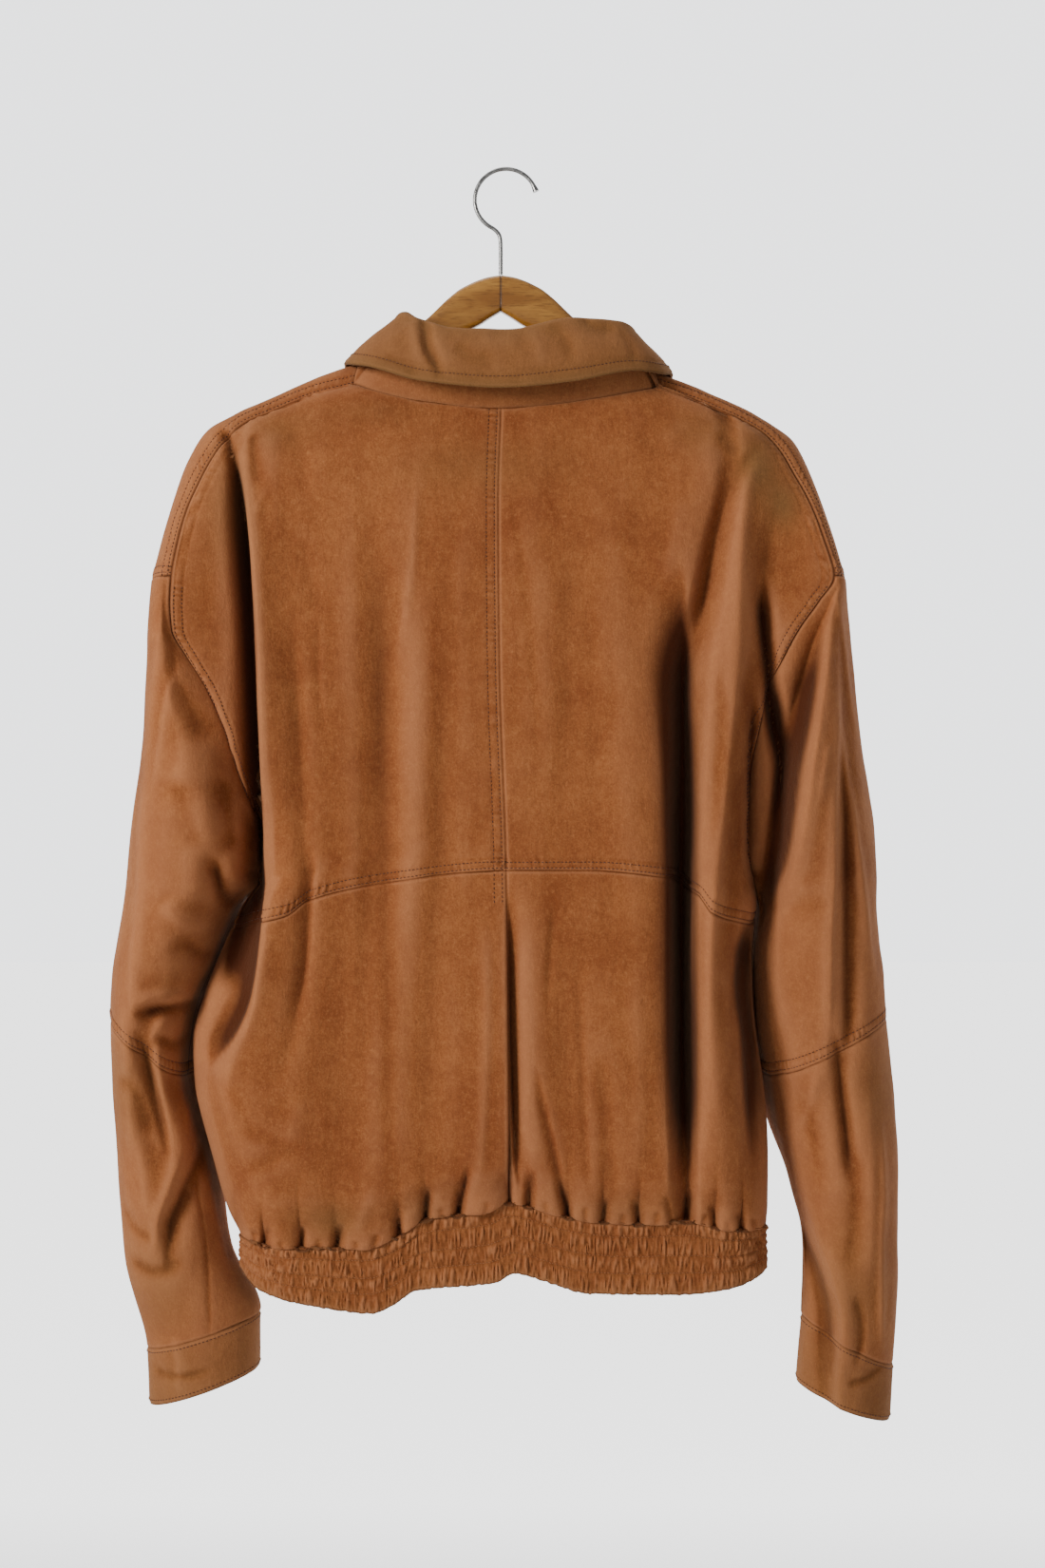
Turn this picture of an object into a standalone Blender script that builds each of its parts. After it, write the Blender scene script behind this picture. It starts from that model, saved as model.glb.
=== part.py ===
"""A suede blouson that hangs on a two-piece wooden hanger, held up by the hanger's wire hook.

+Z is up, the garment's front faces +Y, its back -Y, and the wearer's right side is +X.
The origin is the point where the hook bears on whatever holds it. Every table is in
millimetres, and "drop" is the distance below the origin. "left" and "right" are the wearer's.
"""

import math

import bmesh
import bpy
import numpy as np
from mathutils import Vector

MM = 0.001
WALL = 2.0  # suede with its turned edges
SEAM_GAP = 0.35  # between neighbouring pieces, on the outside
RIM_SLANT = 1.0  # the inner edge of a cut stands back by this much more
LAYER_LIFT = 0.6  # clearance under a piece that lies on another
LAP_LIFT = WALL + LAYER_LIFT + 0.5  # how far the left front stands off the right one
LEAST_STEP = 1.5  # between neighbouring fold lines
LEAST_SHARE = 0.015
SHARP_ANGLE = 70  # edges bent by less are shaded round
SIDES = {"left": -1, "right": 1}

SUEDE = ((0.40, 0.16, 0.065), 0.92, 0.0)
WOOD = ((0.62, 0.33, 0.11), 0.35, 0.0)
STEEL = ((0.42, 0.42, 0.41), 0.38, 1.0)
HORN = ((0.12, 0.06, 0.03), 0.4, 0.0)


def increasing(values, least):
    """The values, each raised where needed to lie at least this far past the one before."""
    kept = [float(values[0])]
    for value in values[1:]:
        kept.append(max(float(value), kept[-1] + least))
    return np.array(kept)


def table(names, *rows):
    """Named columns from rows of numbers."""
    return {name: np.array(column, float) for name, column in zip(names.split(), zip(*rows))}


def smooth(at, knots, values):
    """A curve through the knots that never overshoots them."""
    knots, values = np.asarray(knots, float), np.asarray(values, float)
    at = np.clip(np.asarray(at, float), knots[0], knots[-1])
    step = np.diff(knots)
    slope = np.diff(values) / step
    tangent = np.zeros(len(knots))
    tangent[0], tangent[-1] = slope[0], slope[-1]
    rising = slope[:-1] * slope[1:] > 0
    total = np.where(rising, slope[:-1] + slope[1:], 1.0)
    tangent[1:-1] = np.where(rising, 2 * slope[:-1] * slope[1:] / total, 0.0)
    i = np.clip(np.searchsorted(knots, at, side="right") - 1, 0, len(step) - 1)
    t = (at - knots[i]) / step[i]
    start = (1 + 2 * t) * (1 - t) ** 2 * values[i] + t * (1 - t) ** 2 * step[i] * tangent[i]
    end = t * t * (3 - 2 * t) * values[i + 1] + t * t * (t - 1) * step[i] * tangent[i + 1]
    return start + end


# Shoulder strips: the ridge over the shoulder, the seam on either side of it, and how far
# that seam lies from the ridge's plane.
SHOULDER = {
    "left": table(
        "ridge_x ridge_drop seam_x seam_drop depth",
        (-112, 147, -116, 167, 15),
        (-147, 160, -146, 175, 17),
        (-178, 174, -172, 186, 20),
        (-206, 187, -197, 198, 24),
        (-228, 200, -212, 212, 29),
        (-241, 220, -222, 228, 34),
        (-250, 243, -231, 248, 39),
        (-260, 277, -241, 276, 45),
        (-270, 315, -248, 315, 50),
    ),
    "right": table(
        "ridge_x ridge_drop seam_x seam_drop depth",
        (114, 154, 118, 169, 15),
        (152, 169, 149, 181, 17),
        (181, 182, 176, 193, 20),
        (203, 195, 196, 206, 24),
        (220, 208, 208, 220, 29),
        (230, 226, 218, 238, 34),
        (238, 247, 227, 256, 39),
        (249, 280, 237, 284, 45),
        (259, 315, 245, 315, 50),
    ),
}

STRIP_COLUMNS = 7

# Armhole seam, then the side of the body below the underarm point.
ARMHOLE_DROP = (335, 355, 375, 400, 430, 465, 505, 530, 545)
ARMHOLE_DEPTH = (50, 49, 47, 44, 39, 33, 24, 15, 0)
ARMHOLE_X = {
    "left": (-249, -248, -238, -223, -210, -200, -188, -187, -190),
    "right": (233, 219, 208, 198, 191, 185, 184, 186, 190),
}
SIDE_EDGE = {
    "left": table(
        "drop x",
        (545, -190), (580, -209), (605, -220), (625, -228), (640, -233.5), (661, -238.5),
        (680, -240), (705, -235.5), (729, -230.5), (761, -222), (798, -211), (813, -203),
    ),
    "right": table(
        "drop x",
        (545, 190), (560, 190.5), (576, 190), (602, 188.5), (635, 190), (665, 193),
        (704, 198.5), (744, 201), (788, 201.5), (806, 200),
    ),
}
WAIST_SIDE_DROP = {"left": 580, "right": 576}
HEM_SIDE_DROP = {"left": 813, "right": 806}
LOWER_ROWS = (0, 0.1, 0.22, 0.36, 0.5, 0.64, 0.76, 0.86, 0.935, 1)

# Depth of the body from its middle plane, and how far in from the side it rounds.
BAND_TOP_DROP = 815
HEM_SHAPE_START = 690  # below this the depth follows the hem, which dips and rises
FOLD_SOFTENING = 8.0  # folds die away where the body is thinner than this
BODY = table(
    "drop back front reach",
    (147, 30, 28, 90),
    (188, 36, 31, 90),
    (230, 43, 37, 90),
    (315, 52, 52, 80),
    (400, 58, 54, 60),
    (545, 63, 55, 42),
    (640, 64, 57, 42),
    (720, 63, 57, 48),
    (775, 58, 52, 50),
    (800, 48, 45, 45),
    (820, 43, 40, 45),
    (866, 41, 38, 45),
)

# Seam lines across the back: x against drop.
NECK_BACK = table(
    "x drop", (-116, 167), (-98, 174), (-60, 183), (-5, 188), (35, 185), (74, 179), (118, 169)
)
WAIST = table(
    "x drop", (-203, 580), (-180, 572), (-160, 567), (-146, 557), (-92, 544), (0, 534),
    (60, 534), (122, 540), (143, 553), (152, 565), (184, 576),
)
HEM_BACK = table(
    "x drop", (-203, 813), (-167, 817), (-106, 817), (-79, 808), (-61, 796), (-12, 789),
    (2, 783), (18, 786), (48, 794), (97, 799), (136, 797), (165, 803), (200, 806),
)
BAND_BOTTOM_BACK = table(
    "x drop", (-203, 838), (-186, 850), (-135, 862), (-100, 866), (-84, 860), (-67, 849),
    (-7, 843), (7, 836), (30, 842), (62, 851), (127, 852), (169, 848), (200, 840),
)
NECK_DIP_FADE = 150  # how far below the neck a row of the back still dips towards the middle
NECK_SHARE, WAIST_SHARE = 0.2, 0.45  # shares of the back whose rows bend to the seam above or below
CENTRE_BACK = table("drop x", (188, -3), (260, -5), (380, -4), (535, 1), (790, 3))
HEM_FRONT = table("x drop", (-203, 813), (-120, 806), (0, 800), (120, 804), (200, 806))
BAND_BOTTOM_FRONT = table("x drop", (-203, 838), (-120, 850), (0, 848), (120, 850), (200, 840))
NECK_FRONT_LEFT = table("x drop", (-116, 167), (-98, 188), (-66, 220), (-32, 236), (16, 242))
NECK_FRONT_RIGHT = table("x drop", (-16, 242), (32, 236), (66, 220), (98, 188), (118, 169))

# Folds of the back, from the side to the centre. Each row is one line of the cloth: where it
# runs at eight drops, and how far it stands out (+) or sinks in (-) there.
FOLD_DROPS = (250, 320, 400, 500, 560, 620, 690, 805)
BACK_FOLDS = {
    "left": (
        ("sunken fold by the side", (-203, -196, -190, -185, -187, -204, -222, -181),
         (-3, -12, -16, -8, -4, -18, -5, 0)),
        ("lip over it", (-193, -184, -179, -178, -178, -184, -203, -167),
         (3, 7, 9, 9, 9, 8, 5, 0)),
        ("ridge", (-165, -156, -152, -151, -150, -152, -160, -153), (1, 2, 3, 4, 4, 4, 4, 0)),
        ("soft trough", (-112, -102, -98, -100, -104, -110, -118, -126),
         (0, -3, -6, -7, -7, -5, -3, 0)),
        ("soft ridge", (-70, -66, -65, -67, -70, -74, -78, -79), (1, 3, 4, 4, 3, 3, 3, 0)),
        ("trough", (-48, -46, -45, -46, -50, -54, -58, -60), (0, 1, 0, -1, -1, 0, 0, 0)),
        ("flat", (-26, -24, -24, -25, -28, -30, -33, -35), (0, 0, 0, 0, 0, 1, 2, 0)),
        ("centre pleat, upper layer", (-5, -5, -4, -1, 1, 2, 3, 3), (0, 0, 0, 0, 0, 3, 4, 0)),
    ),
    "right": (
        ("trough by the armhole", (208, 194, 188, 178, 171, 170, 169, 177),
         (0, -8, -6, -3, -2, -2, 0, 0)),
        ("slope", (192, 180, 171, 163, 157, 156, 156, 157), (2, 3, 4, 4, 4, 3, 2, 0)),
        ("ridge", (179, 167, 156, 147, 144, 143, 143, 146), (5, 6, 7, 6, 5, 3, 2, 0)),
        ("deep fold", (167, 152, 136, 134, 134, 134, 134, 135),
         (-2, -7, -14, -24, -29, -30, -26, -8)),
        ("lip over it", (155, 137, 120, 120, 121, 121, 121, 119), (2, 3, 4, 5, 6, 6, 5, 0)),
        ("flat", (118, 107, 97, 97, 98, 99, 100, 100), (0, 1, 2, 3, 3, 3, 2, 0)),
        ("flat", (82, 76, 72, 72, 72, 72, 73, 73), (0, 0, 0, 0, 0, 1, 2, 0)),
        ("soft trough", (50, 48, 46, 46, 46, 46, 47, 47), (0, -1, -2, -1, 0, -1, -2, 0)),
        ("ridge beside the pleat", (20, 18, 17, 17, 17, 17, 18, 17), (0, 1, 1, 1, 2, 3, 3, 0)),
        ("centre pleat, under layer", (-5, -5, -4, -1, 1, 2, 3, 3), (0, 0, 0, 0, 0, -4, -5, 0)),
    ),
}
BACK_STEPS = {"left": (3, 1, 1, 2, 2, 2, 2, 2), "right": (3, 2, 1, 1, 1, 1, 2, 2, 2, 1)}
FOLD_START_DROP = 250

FRONT_EDGE = 16  # how far either front reaches past the middle
FRONT_FOLDS = {
    "left": (
        ("sunken fold by the side", (-205, -196, -186, -180, -180, -190, -196, -183),
         (0, -5, -9, -10, -10, -8, -5, 0)),
        ("lip over it", (-188, -176, -166, -162, -160, -164, -170, -164), (2, 4, 5, 6, 6, 5, 3, 0)),
        ("soft trough", (-120, -112, -108, -108, -108, -110, -112, -112),
         (0, -3, -5, -6, -6, -5, -3, 0)),
        ("soft ridge", (-64, -60, -60, -62, -62, -63, -64, -64), (0, 1, 3, 4, 4, 4, 3, 0)),
        ("flat under the lap", (-32,) * 8, (0,) * 8),
        ("edge", (FRONT_EDGE,) * 8, (0,) * 8),
    ),
    "right": (
        ("sunken fold by the side", (204, 194, 180, 172, 170, 168, 168, 176),
         (0, -5, -9, -12, -12, -10, -8, 0)),
        ("lip over it", (186, 174, 160, 152, 150, 149, 150, 156), (2, 4, 5, 6, 6, 5, 3, 0)),
        ("soft trough", (118, 110, 104, 104, 104, 104, 106, 108), (0, -3, -5, -6, -6, -5, -3, 0)),
        ("soft ridge", (62, 58, 58, 60, 60, 61, 62, 62), (0, 1, 3, 4, 4, 4, 3, 0)),
        ("flat under the lap", (32,) * 8, (0,) * 8),
        ("edge", (-FRONT_EDGE,) * 8, (0,) * 8),
    ),
}
FRONT_STEPS = (3, 1, 2, 1, 1, 2)
FRONT_NECK_DROP = 242
FRONT_NECK_FADE, FRONT_NECK_SHARE = 0.62, 1 / 6  # shares of the front that bend to the neck
FRONT_HEM_POWER = 6
BUTTON_STAND = 22  # half width of the lap of the left front over the right

# Gathers above the waistband: the pinched points, and the puff between each two of them.
BACK_PINCHES = (-203, -181, -153, -126, -79, -60, -35, 3, 17, 47, 73, 100, 136, 157, 177, 200)
FRONT_PINCHES = tuple(range(-200, 201, 25))
PUFF_RISE = 7.0
PINCH_SINK = 7.0
PUFF_HEIGHT = 13.0

# Sleeves: rows down the sleeve. "slant" tips a row, + lowers its inner side.
SLEEVE = {
    "left": table(
        "drop slant outer inner middle half",
        (315, 0, -270, -248, 0, 50),
        (380, 0, -274, -236, 0, 56),
        (452, 0, -278, -204, 0, 60),
        (505, 0, -286, -188, 0, 62),
        (545, 0, -290, -190, 0, 62),
        (562, 2, -292, -206, 1, 60),
        (597, 8, -297, -223, 2, 58),
        (631, 15, -301, -239, 3, 56),
        (671, 22, -302, -244.5, 4, 54),
        (705, 18, -301, -238, 5, 50),
        (761, 8, -298, -225, 6, 48),
        (830, -4, -292, -213, 8, 44),
        (889, -13, -276, -189, 9, 38),
        (931, -14, -274, -189, 9, 36),
    ),
    "right": table(
        "drop slant outer inner middle half",
        (315, 0, 259, 245, 0, 50),
        (380, 0, 266, 206, 0, 56),
        (452, 0, 274, 187, 0, 60),
        (505, 0, 282, 184, 0, 62),
        (545, 0, 284, 190, 0, 62),
        (562, 2, 284, 195, 1, 60),
        (597, 8, 286, 191, 2, 58),
        (631, 15, 290, 193, 3, 56),
        (671, 22, 292, 201, 4, 54),
        (705, 18, 296, 206, 5, 50),
        (761, 8, 301, 217, 6, 48),
        (830, -6, 302, 229, 8, 44),
        (897, -18, 298, 228, 9, 38),
        (943, -14, 296, 224, 9, 36),
    ),
}
UNDERARM_DROP = 545
UNDERARM_CLEAR = ((505, 0), (530, 0.5))  # drop, and how far the sleeve stands off the body
ELBOW_DROP = 671
CUFF_TOP = {"left": 889, "right": 897}
CUFF_BOTTOM = {"left": 931, "right": 943}
UPPER_SLEEVE_ROWS = (562, 584, 610, 640, ELBOW_DROP)
LOWER_SLEEVE_ROWS = 7
CUFF_ROWS = 3
SLEEVE_FOLD_DROPS = (320, 380, 450, 545, 600, 660, 720, 800, 880)
SLEEVE_FOLDS = {
    "left": (
        ("trough by the seam", (-250, -245, -215, -204, -232, -257, -250, -230, -206),
         (0, -2, -5, -4, 3, 3, 2, 2, 1)),
        ("soft ridge", (-253, -253, -239, -236, -252, -267, -266, -252, -235),
         (1, 3, 5, 5, 4, -4, -5, 2, 1)),
        ("outer ridge", (-258, -261, -266, -273, -277, -284, -284, -278, -262),
         (2, 4, 5, 6, 6, 5, 4, 3, 1)),
    ),
    "right": (
        ("underarm pocket", (248, 224, 207, 196, 195, 206, 211, 226, 240),
         (0, -8, -17, -12, -4, -3, -3, -4, -4)),
        ("edge of the hanging fold", (250, 234, 222, 205, 203, 214, 219, 233, 252),
         (0, 7, 11, 9, 6, 5, 5, 6, 7)),
        ("soft ridge", (254, 250, 252, 255, 256, 257, 263, 275, 280),
         (1, 3, 4, 4, 3, 3, 3, 3, 2)),
    ),
}
LEAST_TURN_SHARE = 0.1  # of the way round the back of the sleeve, between two fold lines
SLEEVE_STEPS = (3, 2, 3, 3)
SLEEVE_FRONT_STEPS = 9

# Collar: the crease it is folded on and the lower edge of the fall, round the neck from the
# centre back (turn 0) to the front (turn 180), the left side negative.
CREASE = table(
    "turn x y drop",
    (-180, -12, 39, 222), (-140, -52, 34, 180), (-110, -80, 22, 140), (-90, -84, 0, 119),
    (-75, -79, -22, 113), (-60, -68, -35, 119), (-30, -36, -43, 129), (0, 2, -44, 130),
    (30, 50, -42, 121), (60, 84, -36, 122), (75, 96, -22, 124), (90, 100, 0, 131),
    (110, 94, 22, 149), (140, 58, 34, 184), (180, 12, 39, 222),
)
FALL_EDGE = table(
    "turn x y drop",
    (-180, -58, 56, 290), (-165, -80, 54, 258), (-140, -102, 47, 206), (-110, -122, 22, 160),
    (-90, -124, 0, 147), (-75, -118, -27, 152), (-60, -100, -44, 158), (-30, -58, -55, 171),
    (0, -3, -58, 176), (30, 50, -56, 171), (60, 99, -46, 161), (75, 121, -29, 160),
    (90, 129, 0, 155), (110, 126, 22, 168), (140, 105, 47, 210), (165, 82, 54, 258),
    (180, 60, 56, 290),
)
STRIP_TURN = (75, 105)
COLLAR_END = 12
STAND_TUCK = WALL + 0.7  # the stand's foot lies this far inside the neck seam
STAND_DIP = 1.2  # and this far under it, but over the hanger's arms it rests on top
STAND_LIFT = 0.9
CROWN = ((-4.0, 0.0), (-0.5, -0.3), (2.6, -3.4))
STAND_TOP = (-1.9, -4.4)
FALL_ROWS = (0.3, 0.62, 1.0)
FALL_BULGE = 3.0

BAND_HEIGHT = 35
FINE_STEPS = 200
BAND_GATHERS = 46
FRONT_BAND_GATHERS = 22
GATHER_RISE = 1.3

# Hanger: top edge against the distance from its middle joint, inside the neck.
HANGER_JOINT_X = -3.5
HANGER_TOP = table(
    "out drop", (0, 80), (10, 81.5), (19, 84.5), (31, 90.5), (41, 98.5), (55, 112), (80, 132)
)
HANGER_HEIGHT = table("out height", (0, 29), (20, 36), (60, 35), (120, 31), (170, 26), (210, 19))
HANGER_HALF_THICKNESS = 6.5
HANGER_SECTION_POINTS = 12
HANGER_SIDE_ROUNDING, HANGER_EDGE_ROUNDING = 0.6, 0.75  # 1 is an ellipse, 0 a box
HANGER_GLUE_LINE = 0.3
HANGER_UNDER_STRIP = WALL + 1.1
HANGER_STATIONS = 4  # of the shoulder strip, that an arm reaches under

HOOK_WIRE = 3.2
HOOK_RADIUS = 24.0
HOOK_CENTRE_X = 0.5
HOOK_TIP_ANGLE, HOOK_LAST_ANGLE = 16, 248
HOOK_ARC_STEPS = 20
HOOK_SHANK = ((-5.2, -48.0), (-3.9, -51.5), (-3.5, -56.0), (-3.5, -68.0))  # x against z

BUTTON_RADIUS = 9.0
BUTTON_THICKNESS = 2.6
BUTTON_PROFILE = ((1, 0), (1, 0.7), (0.85, 1), (0.72, 0.72))  # of its radius and thickness
BUTTON_SIDES = 16
BUTTON_DROPS = (272, 382, 492, 602, 712)
BAND_BUTTON_DROP = 824
CUFF_BUTTON_RADIUS = 7.0
CUFF_BUTTON_CLEAR = 0.2


def rail(side):
    """The edge that a body panel follows: strip seam, armhole seam, then the side seam."""
    strip, edge = SHOULDER[side], SIDE_EDGE[side]
    waist, hem = WAIST_SIDE_DROP[side], HEM_SIDE_DROP[side]
    below = waist + (hem - waist) * np.array(LOWER_ROWS)
    drop = np.concatenate([strip["seam_drop"], ARMHOLE_DROP, below])
    x = np.concatenate([strip["seam_x"], ARMHOLE_X[side], smooth(below, edge["drop"], edge["x"])])
    depth = np.concatenate([strip["depth"], ARMHOLE_DEPTH, np.zeros(len(below))])
    return drop, x, depth


def upper_row_count(side):
    return len(SHOULDER[side]["seam_x"]) + len(ARMHOLE_DROP) + 1


def fold_lines(side, folds, drop):
    """x of each fold line at a drop, and how far it stands out."""
    at = max(drop, FOLD_START_DROP)
    x = np.array([smooth(at, FOLD_DROPS, line[1]) for line in folds[side]])
    rise = np.array([smooth(drop, FOLD_DROPS, line[2]) for line in folds[side]])
    return x, rise


def gather(x, above_hem, front):
    """Puffs between the pinched points above the waistband, none at the seam or the lap."""
    pinches = FRONT_PINCHES if front else BACK_PINCHES
    phase = np.interp(x, pinches, np.arange(len(pinches)))
    wave = np.cos(2 * math.pi * phase)
    height = np.clip(above_hem, 0, None) / PUFF_HEIGHT
    fade = height * np.exp(1 - height)
    if front:
        fade = fade * np.clip(np.abs(x) / BUTTON_STAND - 1, 0, 1)
    return fade * np.where(wave > 0, -PINCH_SINK * wave, -PUFF_RISE * wave)


def body_y(side, front, drop, x):
    """Depth of the body's outer surface at a drop and x, + towards the front."""
    sign = SIDES[side]
    rail_drop, rail_x, rail_depth = rail(side)
    edge_x = np.interp(drop, rail_drop, rail_x)
    edge_depth = np.interp(drop, rail_drop, rail_depth)
    hem = HEM_FRONT if front else HEM_BACK
    hem_drop = smooth(x, hem["x"], hem["drop"])
    near_hem = np.clip((drop - HEM_SHAPE_START) / (hem_drop - HEM_SHAPE_START), 0, 1)
    level = drop + (BAND_TOP_DROP - hem_drop) * near_hem
    full = smooth(level, BODY["drop"], BODY["front" if front else "back"])
    reach = smooth(level, BODY["drop"], BODY["reach"])
    inward = np.clip((edge_x - x) * sign / reach, 0, 1)
    depth = edge_depth + (full - edge_depth) * np.sqrt(1 - (1 - inward) ** 2)
    folds = FRONT_FOLDS if front else BACK_FOLDS
    line_x, line_rise = fold_lines(side, folds, drop)
    knots = increasing(-sign * np.concatenate([[edge_x], line_x]), LEAST_STEP)
    rise = smooth(-x * sign, knots, np.concatenate([[0.0], line_rise]))
    rise = rise + gather(x, hem_drop - drop, front)
    weight = depth / (depth + FOLD_SOFTENING)
    return (depth + rise * weight) * (1 if front else -1)


def column_shares(side, folds, steps, drop, edge_x):
    """Shares of the way from the side to the centre at which a row of cloth has its points."""
    line_x, _ = fold_lines(side, folds, drop)
    start = edge_x
    if drop < FOLD_START_DROP:
        rail_drop, rail_x, _ = rail(side)
        start = np.interp(FOLD_START_DROP, rail_drop, rail_x)
    share = np.concatenate([[0.0], (line_x - start) / (line_x[-1] - start)])
    share = increasing(share, LEAST_SHARE)
    share = share / share[-1]
    parts = [share[1] * (np.arange(steps[0]) / steps[0]) ** 2]  # closer together round the side
    for i, n in enumerate(steps[1:], start=1):
        parts.append(np.linspace(share[i], share[i + 1], n, endpoint=False))
    return np.concatenate(parts + [[1.0]])


def back_centre_drop(rail_drop):
    """Where a row of the upper back that starts on the rail meets the centre seam."""
    start = NECK_BACK["drop"][0]
    lag = NECK_BACK["drop"].max() - start
    return rail_drop + lag * max(0.0, 1 - (rail_drop - start) / NECK_DIP_FADE) ** 1.5


def place(side, front, drops, xs):
    """Points of one row of a body panel from their drops and x."""
    return [(x, float(body_y(side, front, d, x)), -d) for d, x in zip(drops, xs)]


def back_upper(side):
    """Rows from the neck seam to the waist seam, columns from the side to the centre seam."""
    drops, xs, _ = rail(side)
    last = upper_row_count(side)
    first_drop, waist_drop = drops[0], drops[last - 1]
    centre_top = back_centre_drop(first_drop)
    centre_waist = smooth(0, WAIST["x"], WAIST["drop"])
    rows = []
    for k in range(last):
        reach_waist = (drops[k] - first_drop) / (waist_drop - first_drop)
        centre = back_centre_drop(drops[k])
        centre += (centre_waist - waist_drop) * reach_waist**3
        centre_x = smooth(centre, CENTRE_BACK["drop"], CENTRE_BACK["x"])
        share = column_shares(side, BACK_FOLDS, BACK_STEPS[side], drops[k], xs[k])
        x = xs[k] + share * (centre_x - xs[k])
        drop = drops[k] + share * (centre - drops[k])
        top_x = xs[0] + share * (CENTRE_BACK["x"][0] - xs[0])
        waist_x = xs[last - 1] + share * (CENTRE_BACK["x"][3] - xs[last - 1])
        top_bow = smooth(top_x, NECK_BACK["x"], NECK_BACK["drop"])
        top_bow = top_bow - (first_drop + share * (centre_top - first_drop))
        waist_bow = smooth(waist_x, WAIST["x"], WAIST["drop"])
        waist_bow = waist_bow - (waist_drop + share * (centre_waist - waist_drop))
        near_top = max(0.0, 1 - reach_waist / NECK_SHARE)
        near_waist = max(0.0, 1 - (1 - reach_waist) / WAIST_SHARE)
        drop = drop + near_top * top_bow + near_waist * waist_bow
        rows.append(place(side, False, drop, x))
    return np.array(rows)


def back_lower(side):
    """Rows from the waist seam to the waistband seam."""
    drops, xs, _ = rail(side)
    rows = []
    for k, share_down in enumerate(LOWER_ROWS):
        edge = upper_row_count(side) - 1 + k
        edge_drop, edge_x = drops[edge], xs[edge]
        centre = np.interp(share_down, (0, 1), (WAIST["drop"].min(), HEM_BACK["drop"].min()))
        centre_x = smooth(centre, CENTRE_BACK["drop"], CENTRE_BACK["x"])
        share = column_shares(side, BACK_FOLDS, BACK_STEPS[side], edge_drop, edge_x)
        x = edge_x + share * (centre_x - edge_x)
        waist = smooth(x, WAIST["x"], WAIST["drop"])
        hem = smooth(x, HEM_BACK["x"], HEM_BACK["drop"])
        rows.append(place(side, False, waist + (hem - waist) * share_down, x))
    return np.array(rows)


def front_panel(side):
    """One plain front from the neck to the waistband; the left one laps over the right one."""
    drops, xs, _ = rail(side)
    neck = NECK_FRONT_LEFT if side == "left" else NECK_FRONT_RIGHT
    rows = []
    for k in range(len(drops)):
        down = (drops[k] - drops[0]) / (drops[-1] - drops[0])
        lag = (FRONT_NECK_DROP - drops[0]) * max(0.0, 1 - down / FRONT_NECK_FADE) ** 1.25
        share = column_shares(side, FRONT_FOLDS, FRONT_STEPS, drops[k], xs[k])
        edge_x = -SIDES[side] * FRONT_EDGE
        x = xs[k] + share * (edge_x - xs[k])
        drop = drops[k] + share * lag
        neck_x = xs[0] + share * (edge_x - xs[0])
        neck_bow = smooth(neck_x, neck["x"], neck["drop"])
        neck_bow = neck_bow - (drops[0] + share * (FRONT_NECK_DROP - drops[0]))
        hem_bow = smooth(x, HEM_FRONT["x"], HEM_FRONT["drop"]) - drops[-1]
        near_neck = max(0.0, 1 - down / FRONT_NECK_SHARE)
        drop = drop + near_neck * neck_bow + down**FRONT_HEM_POWER * hem_bow
        points = np.array(place(side, True, drop, x))
        if side == "left":
            lap = np.clip((x + 2 * BUTTON_STAND) / BUTTON_STAND, 0, 1)
            points[:, 1] += LAP_LIFT * lap * lap * (3 - 2 * lap)
        rows.append(points)
    return np.array(rows)


def strip_rows(side):
    """The shoulder strip: an arch from its back seam over the ridge to its front seam."""
    strip = SHOULDER[side]
    rows = []
    for k in range(len(strip["depth"])):
        row = []
        for turn in np.linspace(-1, 1, STRIP_COLUMNS):
            up = math.cos(turn * math.pi / 2)
            x = strip["seam_x"][k] + (strip["ridge_x"][k] - strip["seam_x"][k]) * up
            drop = strip["seam_drop"][k] + (strip["ridge_drop"][k] - strip["seam_drop"][k]) * up
            row.append((x, strip["depth"][k] * math.sin(turn * math.pi / 2), -drop))
        rows.append(row)
    return np.array(rows)


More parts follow.
